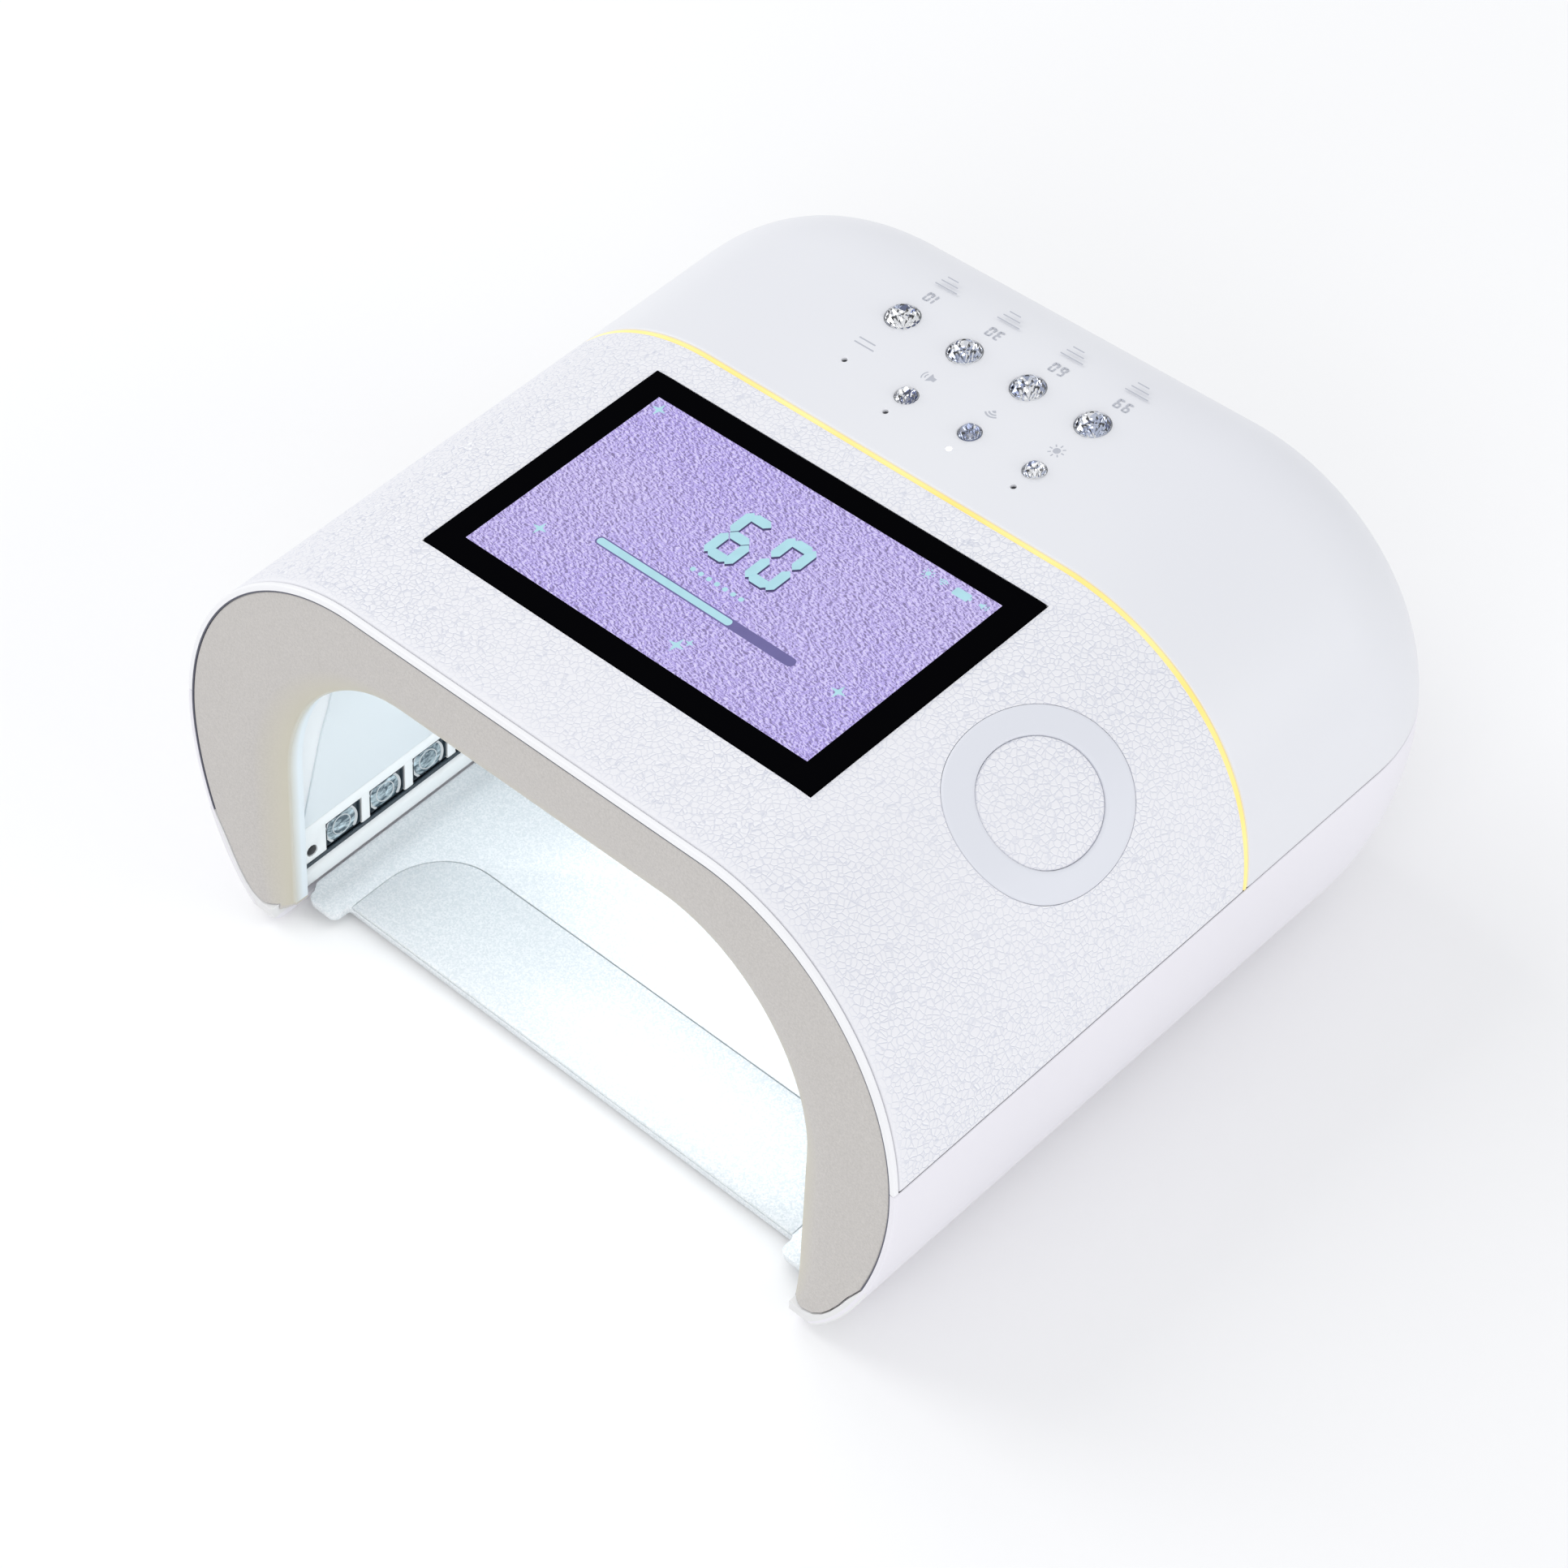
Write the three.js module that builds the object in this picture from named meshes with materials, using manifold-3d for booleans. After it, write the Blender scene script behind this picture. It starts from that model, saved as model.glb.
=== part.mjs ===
// UV nail curing lamp: an arched white lamp with a hand cavity, a display and gem-topped buttons.
// Millimetres. +X is the lamp's right seen from the front, -Y the hand opening, +Z up, feet on z = 0.
import * as THREE from 'three';
import { mergeVertices } from 'three/addons/utils/BufferGeometryUtils.js';
import Module from 'manifold-3d';

const wasm = await Module();
wasm.setup();

// ---- driving dimensions -------------------------------------------------------------------------
const GAP = 0.3; // clearance between neighbouring pieces
const WALL = 3; // moulded shell thickness
const HALF_W = 119.4; // half width at the widest height
const TOP = 115; // height of the flat top
const WAIST_Z = 53.6; // height of the widest section
const FLAT_HALF = 57; // half width of the flat top
const BASE_HALF = 87.9; // half width where the flanks reach z = 0
const FLANK_POWER = 1.78; // superellipse power of the flanks below the waist
const UNDER_Z = 1.5; // underside of the tub
const SOLE_TOP = 3.4; // top of the tub's floor and soles
const SEAM_Z = 59; // horizontal seam between the covers and the tub

const LEAN = 0.18; // the front, strip and back planes lean back by this much per mm of height
const LEAN_Z = 60; // height at which the lean is zero; FRONT, STRIP and BACK are given there
const FRONT = -96.9;
const TRIM = 1.5; // depth of the white rim
const RIM = 1.4; // wall thickness at the rim
const TOE_R = 5; // rounding under the front legs
const STRIP = 18.6; // middle of the light strip
const STRIP_W = 1.2;
const STRIP_BOW = 1.5; // the strip's plane bows back by this much half way up the shoulder
const BACK = 101.9;
const BACK_LENGTH = 36; // length of the rounding towards the back
const BACK_DRAW = 29; // how far that rounding draws in
const NOSE_R = 1.2; // small rounding of the front edge
const ROUND_Z = 55; // height the rounding draws towards

const MOUTH = { half: 88, top: 91, r: 45 }; // hand opening
const BEZEL = { depth: 9.5, roll: 14, rollDepth: 5, rollPower: 3.2, skin: 2.4, rib: 8 };
const CAVITY = { half: 90.5, top: 93.5, r: 46, back: 50, t: 1.5 };

const GLASS = { y: -20.9, w: 125.5, d: 75.8, t: 1.4, proud: 0.3 };
const WINDOW = { w: 114, d: 66 }; // opening below the glass
const LARGE_GEM = { r: 4.8, top: 117, y: 68.5, xs: [-30.6, -10.2, 10.2, 30.6] };
const SMALL_GEM = { r: 3.1, top: 116.6, y: 48.3, xs: [-10.2, 10.2, 30.6] };
const GIRDLE_Z = 115.2;
const DOTS = [[-30.6, 48.3], [-10.2, 41.1], [10.2, 41.1], [30.6, 41.1]];
const PCB = 1.6;
const BUTTON_BOARD = { x: 50, y0: 36, y1: 79, z: 104.4 };

const LED = { count: 7, pitch: 14.6, first: -72.5, w: 12, z0: 12.3, z1: 20.3 };
const BAR = { z0: 11.6, z1: 23.6, t: 3 };
const TOE_X = 90.6; // half width at which the toes begin
// edge in x and z along which the lower shell's toes curl up and round the bezel's legs
const TOE_LINE = [
  [94.3, 6.2], [97.9, 7.3], [100.6, 9.3], [102.9, 11.9], [105.5, 15.7], [107.9, 19.7], [112, 25.5],
];
const TRAY = {
  half: 90.2, lipY: -91.9, tabY: -97.4, tabX: 78, tabUnder: 2.6, backY: 39, under: 1.2, top: 4.7,
};
const INLAY = { half: 77, backY: -62.4, r: 18 };
const ROUNDEL = { r: 23.5, y: -19.8, t: 0.8, proud: 0.3, angle: (53.5 * Math.PI) / 180 };
const INLET = { x: 38, z: 42 };
const SWITCH = { x: -38, z: 42, travel: 20 };

// ---- helpers ------------------------------------------------------------------------------------
const leanAt = (z) => LEAN * (z - LEAN_Z);
const v2 = (x, y) => new THREE.Vector2(x, y);

function solid(geometry) {
  geometry.deleteAttribute('normal');
  geometry.deleteAttribute('uv');
  const m = mergeVertices(geometry, 1e-5);
  return new wasm.Manifold(new wasm.Mesh({
    numProp: 3,
    vertProperties: new Float32Array(m.attributes.position.array),
    triVerts: new Uint32Array(m.index.array),
  }));
}

function box(x0, x1, y0, y1, z0, z1) {
  const g = new THREE.BoxGeometry(x1 - x0, y1 - y0, z1 - z0);
  return solid(g.translate((x0 + x1) / 2, (y0 + y1) / 2, (z0 + z1) / 2));
}

// an upright rod
function rod(r, x, y, z0, z1, segments = 16) {
  const g = new THREE.CylinderGeometry(r, r, z1 - z0, segments);
  return solid(g.rotateX(Math.PI / 2).translate(x, y, (z0 + z1) / 2));
}

const alongX = (r, x0, x1, { y, z }, segments = 12) => solid(
  new THREE.CylinderGeometry(r, r, x1 - x0, segments).rotateZ(Math.PI / 2).translate((x0 + x1) / 2, y, z),
);

// moves a geometry's points with the lean of the shells
function lean(g) {
  const p = g.attributes.position;
  for (let i = 0; i < p.count; i += 1) p.setY(i, p.getY(i) + leanAt(p.getZ(i)));
  return g;
}

// a block whose front and back faces lean like the shells
function leanBox(x0, x1, y0, y1, z0, z1) {
  const g = new THREE.BoxGeometry(x1 - x0, y1 - y0, z1 - z0);
  return solid(lean(g.translate((x0 + x1) / 2, (y0 + y1) / 2, (z0 + z1) / 2)));
}

const slab = (y0, y1, z0, z1) => leanBox(-150, 150, y0, y1, z0, z1);

// everything above the seam between two planes that lean and bow like the light strip
function stripSlab(y0, y1) {
  const z0 = SEAM_Z + GAP / 2;
  const g = new THREE.BoxGeometry(300, y1 - y0, 60, 1, 1, 16).translate(0, (y0 + y1) / 2, z0 + 30);
  const p = g.attributes.position;
  for (let i = 0; i < p.count; i += 1) {
    const rise = Math.min((p.getZ(i) - z0) / (TOP - z0), 1);
    p.setY(i, p.getY(i) + STRIP_BOW * Math.sin(Math.PI * rise));
  }
  return solid(lean(g));
}

// an XZ outline run from y0 to y1, leaning like the shells
function leanPrism(points, y0, y1) {
  const g = new THREE.ExtrudeGeometry(new THREE.Shape(points), { depth: y1 - y0, bevelEnabled: false });
  return solid(lean(g.rotateX(Math.PI / 2).translate(0, y1, 0)));
}

// an XY outline run from z0 to z1
function plate(points, z0, z1) {
  const g = new THREE.ExtrudeGeometry(new THREE.Shape(points), { depth: z1 - z0, bevelEnabled: false });
  return solid(g.translate(0, 0, z0));
}

// a leaning body through matching XZ outlines, one at each y in ys
function loft(outlines, ys) {
  const n = ys.length - 1;
  const sheet = new THREE.Shape(outlines[0]);
  const g = new THREE.ExtrudeGeometry(sheet, { depth: n, steps: n, bevelEnabled: false });
  g.rotateX(Math.PI / 2).translate(0, n, 0);
  const p = g.attributes.position;
  for (let i = 0; i < p.count; i += 1) {
    const here = v2(p.getX(i), p.getZ(i));
    let k = 0;
    outlines[0].forEach((q, j) => { if (q.distanceTo(here) < outlines[0][k].distanceTo(here)) k = j; });
    const step = Math.round(p.getY(i));
    p.setXYZ(i, outlines[step][k].x, ys[step], outlines[step][k].y);
  }
  return solid(lean(g));
}

// closes a right-hand half outline with its mirror image
function mirrored(right) {
  return right.concat(right.filter((p) => p.x > 1e-6).map((p) => v2(-p.x, p.y)).reverse());
}

// ---- section outlines ---------------------------------------------------------------------------
// the body's arch: flanks that draw in towards the base, round shoulders and a flat top
function archOutline(inset, low = 10, high = 14) {
  const right = [];
  for (let i = 0; i <= low; i += 1) {
    const s = 1 - (i / low) ** 2;
    const bulge = (1 - s ** FLANK_POWER) ** (1 / FLANK_POWER);
    right.push(v2(BASE_HALF - inset + (HALF_W - BASE_HALF) * bulge, WAIST_Z * (1 - s)));
  }
  for (let i = 1; i <= high; i += 1) {
    const a = (Math.PI / 2) * (i / high);
    right.push(v2(
      FLAT_HALF + (HALF_W - FLAT_HALF - inset) * Math.cos(a),
      WAIST_Z + (TOP - WAIST_Z - inset) * Math.sin(a),
    ));
  }
  return mirrored(right);
}

// an arch with straight sides and round roof corners, widened by grow
function tunnelOutline({ half, top, r }, grow = 0, bottom = -20) {
  const right = [v2(half + grow, bottom)];
  for (let i = 0; i <= 10; i += 1) {
    const a = (Math.PI / 2) * (i / 10);
    right.push(v2(half - r + (r + grow) * Math.cos(a), top - r + (r + grow) * Math.sin(a)));
  }
  return mirrored(right);
}

// ---- body shells --------------------------------------------------------------------------------
// the whole body as one solid, drawn in by a quarter ellipse at the back and a small round at the nose
function bodySolid(inset, front, nose) {
  const stations = nose
    ? [0, 1, 2].map((i) => (Math.PI / 6) * i)
      .map((a) => [front + nose * (1 - Math.cos(a)), nose * (1 - Math.sin(a))])
    : [[front, 0]];
  if (nose) stations.push([front + nose, 0]);
  for (let i = 0; i <= 8; i += 1) {
    const a = (Math.PI / 16) * i;
    const length = BACK_LENGTH - inset;
    stations.push([BACK - inset - length * (1 - Math.sin(a)), (BACK_DRAW - inset) * (1 - Math.cos(a))]);
  }
  const section = archOutline(inset);
  const outlines = stations.map(([, d]) => section.map((p) => v2(
    p.x * (1 - d / HALF_W),
    ROUND_Z + (p.y - ROUND_Z) * (1 - d / (TOP - ROUND_Z)),
  )));
  return loft(outlines, stations.map(([y]) => y));
}

const outer = bodySolid(0, FRONT, NOSE_R);
const inner = bodySolid(WALL, FRONT - 20, 0);
const shell = outer.subtract(inner);
const aboveSeam = slab(FRONT - 30, BACK + 60, SEAM_Z + GAP / 2, TOP + 20);
const rimHollow = leanPrism(archOutline(RIM), FRONT - 10, FRONT + TRIM + GAP);

// the corner removed under the toes of the front legs
function toeCut() {
  const y = FRONT + leanAt(UNDER_Z) + TOE_R - 0.2;
  const z = UNDER_Z + TOE_R - 0.2;
  return box(-150, 150, y - 20, y, z - 20, z).subtract(alongX(TOE_R, -160, 160, { y, z }, 32));
}

// the toes under the bezel's legs, from the given half width outwards; grow widens them
function toes(half, grow) {
  const right = [[half, -5], [half, 6.2], ...TOE_LINE, [130, 25.5], [130, -5]];
  return [-1, 1].map((side) => leanPrism(
    right.map(([x, z]) => v2(side * (x - grow), z + grow)),
    FRONT - 10,
    FRONT + 0.2 + BEZEL.depth,
  )).reduce((a, b) => a.add(b));
}

// the way the tray slides out through, from the front back to y1
const trayWay = (y1) => box(-TRAY.half - 0.4, TRAY.half + 0.4, -150, y1, 0, TRAY.top + GAP);

// turns a piece built along +Y to the right shoulder's normal and sets it reach mm out from the round
function onShoulder(g, reach) {
  const { angle, y } = ROUNDEL;
  g.rotateX(Math.PI / 2).rotateY(Math.PI / 2 - angle);
  return g.translate(FLAT_HALF + reach * Math.cos(angle), y, WAIST_Z + reach * Math.sin(angle));
}

// the round pad's plug: a short cylinder along the normal of the right shoulder
function roundelPlug(r) {
  const reach = HALF_W - FLAT_HALF;
  return solid(onShoulder(new THREE.CylinderGeometry(r, r, 40, 40), reach));
}

function makeFrontCover() {
  const { y, w, d, t, proud } = GLASS;
  const pocketZ = TOP - t + proud - GAP;
  return shell.intersect(slab(FRONT + TRIM + GAP, BACK, 0, TOP + 20))
    .intersect(stripSlab(FRONT - 30, STRIP - STRIP_W / 2 - GAP))
    .subtract(box(-w / 2 - GAP, w / 2 + GAP, y - d / 2 - GAP, y + d / 2 + GAP, pocketZ, TOP + 5))
    .subtract(box(-WINDOW.w / 2, WINDOW.w / 2, y - WINDOW.d / 2, y + WINDOW.d / 2, TOP - 10, TOP + 5))
    .subtract(roundelPlug(ROUNDEL.r + GAP).subtract(bodySolid(ROUNDEL.t + GAP, FRONT, 0)));
}

function makeRoundel() {
  const skin = bodySolid(-ROUNDEL.proud, FRONT, 0).subtract(bodySolid(ROUNDEL.t, FRONT - 5, 0));
  return skin.intersect(roundelPlug(ROUNDEL.r));
}

const makeFrontTrim = () => outer.intersect(aboveSeam).intersect(slab(FRONT - 10, FRONT + TRIM, 0, 200))
  .subtract(rimHollow);

function makeLightStrip() {
  const band = stripSlab(STRIP - STRIP_W / 2, STRIP + STRIP_W / 2);
  return bodySolid(0.2, FRONT, 0).subtract(inner).intersect(band);
}

function makeRearCover() {
  let cover = shell.intersect(stripSlab(STRIP + STRIP_W / 2 + GAP, BACK + 60));
  for (const gem of [LARGE_GEM, SMALL_GEM]) {
    for (const x of gem.xs) cover = cover.subtract(rod(gem.r + 0.4, x, gem.y, TOP - 10, TOP + 5, 24));
  }
  for (const [x, y] of DOTS) cover = cover.subtract(rod(0.9, x, y, TOP - 10, TOP + 5, 12));
  const boardTop = BUTTON_BOARD.z + PCB;
  for (const x of [-46, 46]) {
    for (const y of [40, 75]) cover = cover.add(rod(2.5, x, y, boardTop + GAP, TOP - 1, 10));
  }
  return cover;
}

function makeLowerShell() {
  const wall = shell.intersect(slab(FRONT - 30, BACK + 30, UNDER_Z, SEAM_Z - GAP / 2))
    .subtract(rimHollow);
  const floor = outer.intersect(slab(FRONT - 30, BACK + 30, UNDER_Z, SOLE_TOP));
  const ribs = [22, 72].map((x) => box(x - 1.5, x + 1.5, 55, 72, SOLE_TOP - 1, 11.7));
  return [floor, outer.intersect(toes(TOE_X, 0)), ...ribs].reduce((a, b) => a.add(b), wall)
    .subtract(trayWay(TRAY.backY + 0.4)).subtract(toeCut())
    .subtract(onBack(backRod(6.3, -10, 10), INLET))
    .subtract(onBack(box(-9.8, 9.8, -10, 10, -7.3, 7.3), SWITCH));
}

// ---- bezel, liner and rails ---------------------------------------------------------------------
function makeFrontBezel() {
  const y0 = FRONT + 0.2;
  const { depth, roll, rollDepth, rollPower, skin, rib } = BEZEL;
  const ys = [y0 - 5];
  const grows = [roll];
  for (const t of [0, 0.35, 0.5, 0.62, 0.73, 0.82, 0.91, 1]) {
    ys.push(y0 + rollDepth * t ** rollPower);
    grows.push(roll * (1 - t));
  }
  ys.push(y0 + depth + 5);
  grows.push(0);
  const opening = loft(grows.map((grow) => tunnelOutline(MOUTH, grow)), ys);
  const pocket = leanPrism(archOutline(WALL + GAP + skin), y0 + skin, y0 + depth + 5)
    .subtract(leanPrism(tunnelOutline(MOUTH, rib), y0, y0 + depth + 6))
    .intersect(slab(-200, 200, 12, 200));
  return leanPrism(archOutline(WALL + GAP), y0, y0 + depth)
    .add(leanPrism(archOutline(RIM + GAP), y0, FRONT + TRIM))
    .subtract(opening).subtract(pocket).subtract(toes(TOE_X, GAP))
    .subtract(trayWay(0)).subtract(toeCut());
}

const INSIDE_Y = FRONT + 0.2 + BEZEL.depth + GAP; // front end of everything behind the bezel, at LEAN_Z

const CEILING = { xs: [-26, 26], ys: [-50, -16, 18], r: 5 };
const STANDOFFS = [[-47, -58], [47, -58], [-47, 12], [47, 12]];
const MAIN_BOARD_Z = 99.6;

function makeInnerLiner() {
  const wallTop = BAR.z1 + GAP;
  let liner = leanPrism(tunnelOutline(CAVITY, CAVITY.t, wallTop), INSIDE_Y, CAVITY.back + CAVITY.t)
    .subtract(leanPrism(tunnelOutline(CAVITY), INSIDE_Y - 5, CAVITY.back))
    .add(leanPrism(tunnelOutline(CAVITY, CAVITY.t, TRAY.top + GAP), CAVITY.back, CAVITY.back + CAVITY.t));
  for (const x of CEILING.xs) {
    for (const y of CEILING.ys) liner = liner.subtract(rod(CEILING.r + GAP, x, y, 85, 99, 16));
  }
  for (const [x, y] of STANDOFFS) {
    liner = liner.add(rod(2.5, x, y, CAVITY.top + 0.5, MAIN_BOARD_Z - GAP, 10));
  }
  return liner;
}

const sideY = [INSIDE_Y, CAVITY.back - GAP];
const ledYs = Array.from({ length: LED.count }, (_, i) => LED.first + i * LED.pitch); // at LEAN_Z
const sensorAt = { y: -91.2, z: 15.2 };

function makeLedBar(side) {
  const x = [side * CAVITY.half, side * (CAVITY.half + BAR.t)].sort((a, b) => a - b);
  let bar = slab(...sideY, BAR.z0, BAR.z1).intersect(box(...x, -150, 150, 0, 50));
  for (const y of ledYs) {
    bar = bar.subtract(leanBox(x[0] - 1, x[1] + 1, y - LED.w / 2, y + LED.w / 2, LED.z0, LED.z1));
  }
  return bar.subtract(alongX(1.7, x[0] - 1, x[1] + 1, sensorAt));
}

function makeLedModule(side, y) {
  const face = CAVITY.half + GAP;
  const x = [side * face, side * (face + 4.8)].sort((a, b) => a - b);
  const z = (LED.z0 + LED.z1) / 2;
  const h = (LED.z1 - LED.z0) / 2 - GAP;
  const housing = leanBox(...x, y - LED.w / 2 + GAP, y + LED.w / 2 - GAP, z - h, z + h);
  const dome = new THREE.SphereGeometry(3.5, 12, 6).rotateZ(Math.PI / 2).scale(0.5, 1, 1);
  return housing.add(solid(dome.translate(side * (face + 0.2), y + leanAt(z), z)));
}

function makeLedBoard(side) {
  const x0 = CAVITY.half + 5.5;
  const x = [side * x0, side * (x0 + PCB)].sort((a, b) => a - b);
  return leanBox(...x, ledYs[0] - 8, ledYs[ledYs.length - 1] + 8, 10, 23.5);
}

function makeIrSensor(side) {
  const x = [side * (CAVITY.half + 0.2), side * (CAVITY.half + 4.5)].sort((a, b) => a - b);
  return alongX(1.4, ...x, sensorAt);
}

function makeSideRail(side) {
  const h = CAVITY.half;
  const bottom = TRAY.top + GAP;
  const top = BAR.z0 - GAP;
  const section = [v2(h, bottom), v2(h + 4, bottom), v2(h + 4, top), v2(h + 2, top), v2(h, top - 2.6)];
  return leanPrism(section.map((p) => v2(side * p.x, p.y)), ...sideY);
}

function makeCeilingLens() {
  const z = CAVITY.top + CAVITY.t + GAP;
  let part = box(-42, 42, -62, 30, z, z + 1);
  for (const x of CEILING.xs) {
    for (const y of CEILING.ys) {
      const dome = new THREE.SphereGeometry(CEILING.r, 14, 8).rotateX(Math.PI / 2).scale(1, 1, 0.7);
      const below = box(x - 9, x + 9, y - 9, y + 9, 80, z + 0.5);
      part = part.add(solid(dome.translate(x, y, z + 0.1)).intersect(below));
    }
  }
  return part;
}

const makeCeilingBoard = () => {
  const z = CAVITY.top + CAVITY.t + 1 + 2 * GAP;
  return box(-42, 42, -62, 30, z, z + PCB);
};

// ---- tray ---------------------------------------------------------------------------------------
// the tray's outline with a rounded tab reaching forward at each front corner
function tabPlan() {
  const { half, tabX, tabY, lipY } = TRAY;
  const end = half - 1.7;
  return mirrored([
    v2(tabX - 1.2, lipY), v2(tabX, lipY - 1.2), v2(tabX, tabY + 2.5), v2(tabX + 0.8, tabY + 0.8),
    v2(tabX + 2.5, tabY), v2(end - 2.5, tabY), v2(end - 0.8, tabY + 0.8), v2(end, tabY + 2.5),
    v2(half, tabY + 5), v2(half, lipY + 5),
  ]);
}

function inlayPlan(grow) {
  const { half, backY, r } = INLAY;
  const right = [v2(half + grow, TRAY.lipY - grow * 10)];
  for (let i = 0; i <= 6; i += 1) {
    const a = (Math.PI / 12) * i;
    right.push(v2(half - r + (r + grow) * Math.cos(a), backY - r + (r + grow) * Math.sin(a)));
  }
  return mirrored(right);
}

function makeBaseTray() {
  const body = [v2(TRAY.half, TRAY.lipY), v2(TRAY.half, TRAY.backY)];
  return plate(mirrored(body), TRAY.under, TRAY.top)
    .add(plate(tabPlan(), TRAY.tabUnder, TRAY.top))
    .subtract(plate(inlayPlan(GAP), TRAY.top - 1.3, TRAY.top + 5));
}

const makeTrayInlay = () => plate(inlayPlan(0), TRAY.top - 1, TRAY.top);

// ---- display and electronics --------------------------------------------------------------------
const glassZ = TOP + GLASS.proud - GLASS.t;
const centred = (w, d, y, z0, z1) => box(-w / 2, w / 2, y - d / 2, y + d / 2, z0, z1);

const makeDisplayGlass = () => centred(GLASS.w, GLASS.d, GLASS.y, glassZ, glassZ + GLASS.t);
const makeDisplayPanel = () => centred(WINDOW.w - 1, WINDOW.d - 1, GLASS.y, 108.6, glassZ - GAP);

function makeDisplayBracket() {
  let bracket = centred(124, 70, GLASS.y, 107.1, 108.3);
  for (const x of [-59.7, 59.7]) {
    for (const y of [-31, 31]) bracket = bracket.add(rod(2, x, GLASS.y + y, 107.4, 111.4, 10));
  }
  return bracket;
}

// a board with blocks standing on it; each block is [x, y, width, depth, height]
function makeBoard(x0, x1, y0, y1, z, blocks) {
  return blocks.reduce(
    (b, [x, y, w, d, h]) => b.add(
      box(x - w / 2, x + w / 2, y - d / 2, y + d / 2, z + PCB - 0.4, z + PCB + h),
    ),
    box(x0, x1, y0, y1, z, z + PCB),
  );
}

function makeButtonBoard() {
  const switches = [LARGE_GEM, SMALL_GEM].flatMap((gem) => gem.xs.map((x) => [x, gem.y, 4.5, 4.5, 1.2]));
  const { x, y0, y1, z } = BUTTON_BOARD;
  return makeBoard(-x, x, y0, y1, z, switches);
}

const makeMainBoard = () => makeBoard(-52, 52, -62, 16, MAIN_BOARD_Z, [
  [-20, -30, 16, 16, 1.6], [12, -34, 9, 9, 1.2], [36, -10, 12, 10, 4], [-38, 6, 12, 5, 4.2],
  [8, 8, 26, 5, 3],
  [30, -50, 20, 5, 4.2],
]);

function makeBatteryPack() {
  const r = 5;
  const outline = [];
  for (const [cy, cz, a0] of [[5, 5, 180], [15, 5, 270], [15, 33, 0], [5, 33, 90]]) {
    for (let i = 0; i <= 3; i += 1) {
      const a = ((a0 + 30 * i) * Math.PI) / 180;
      outline.push(v2(cy + r * Math.cos(a), cz + r * Math.sin(a)));
    }
  }
  const g = new THREE.ExtrudeGeometry(new THREE.Shape(outline), { depth: 75, bevelEnabled: false });
  return solid(g.rotateY(Math.PI / 2).rotateX(Math.PI / 2).translate(9.5, 54.5, 12));
}

function makeSpeaker() {
  const profile = [v2(0, -11), v2(7, -11), v2(7, -6), v2(14, -2.5), v2(14, 0), v2(0, 0)];
  return solid(onShoulder(new THREE.LatheGeometry(profile, 24), HALF_W - FLAT_HALF - WALL - 3));
}

// ---- buttons and indicators ---------------------------------------------------------------------
function makeGemButton({ r, top }, x, y) {
  const stem = r * 0.6;
  const profile = [
    v2(0, 108.4), v2(stem, 108.4), v2(stem, 110.4), v2(r + 1.2, 110.4), v2(r + 1.2, TOP - WALL - GAP),
    v2(r, TOP - WALL - GAP), v2(r, GIRDLE_Z), v2(r * 0.55, top), v2(0, top),
  ];
  return solid(new THREE.LatheGeometry(profile, 16).rotateX(Math.PI / 2).translate(x, y, 0));
}

const makeIndicator = ([x, y]) => rod(0.6, x, y, BUTTON_BOARD.z + PCB + GAP, TOP, 10);

// ---- feet and back fittings ---------------------------------------------------------------------
function makeFoot(x, y, halfW, halfL) {
  const outline = [];
  for (const end of [-1, 1]) {
    for (let i = 0; i <= 6; i += 1) {
      const a = (end < 0 ? Math.PI : 0) + (Math.PI * i) / 6;
      outline.push(v2(x + halfW * Math.cos(a), y + end * (halfL - halfW) + halfW * Math.sin(a)));
    }
  }
  return plate(outline, 0, UNDER_Z - GAP);
}

// places a piece built round the origin, +Y outwards, on the back wall at (x, z)
function onBack(piece, { x, z }) {
  const tilt = (Math.atan(LEAN) * 180) / Math.PI;
  return piece.rotate([-tilt, 0, 0]).translate([x, BACK + leanAt(z), z]);
}

const backRod = (r, y0, y1, segments = 16) => solid(
  new THREE.CylinderGeometry(r, r, y1 - y0, segments).translate(0, (y0 + y1) / 2, 0),
);

function makeDcInlet() {
  const barrel = backRod(6, -12, 1).add(backRod(8, GAP, 1.8));
  return onBack(barrel.subtract(backRod(3.6, -8, 5, 16)).add(backRod(0.9, -9, 0, 8)), INLET);
}

const ROCKER_R = 5;

function makeSwitchBody() {
  const body = box(-9.5, 9.5, -13, 1, -7, 7).add(box(-11.5, 11.5, GAP, 2, -9, 9));
  const hollow = alongX(ROCKER_R + GAP, -7.3, 7.3, { y: 0, z: 0 }, 32);
  const mouth = box(-7.3, 7.3, 0, 5, -ROCKER_R - GAP, ROCKER_R + GAP);
  return onBack(body.subtract(hollow).subtract(mouth), SWITCH);
}

function makePowerRocker() {
  const half = SWITCH.travel / 2;
  const cut = box(-8, 8, 0, 12, 0, 12).rotate([-half, 0, 0]).translate([0, 2.4, 0]);
  const rocker = alongX(ROCKER_R, -7, 7, { y: 0, z: 0 }, 32).subtract(cut).subtract(cut.mirror([0, 0, 1]));
  return onBack(rocker.rotate([half, 0, 0]), SWITCH);
}

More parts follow.
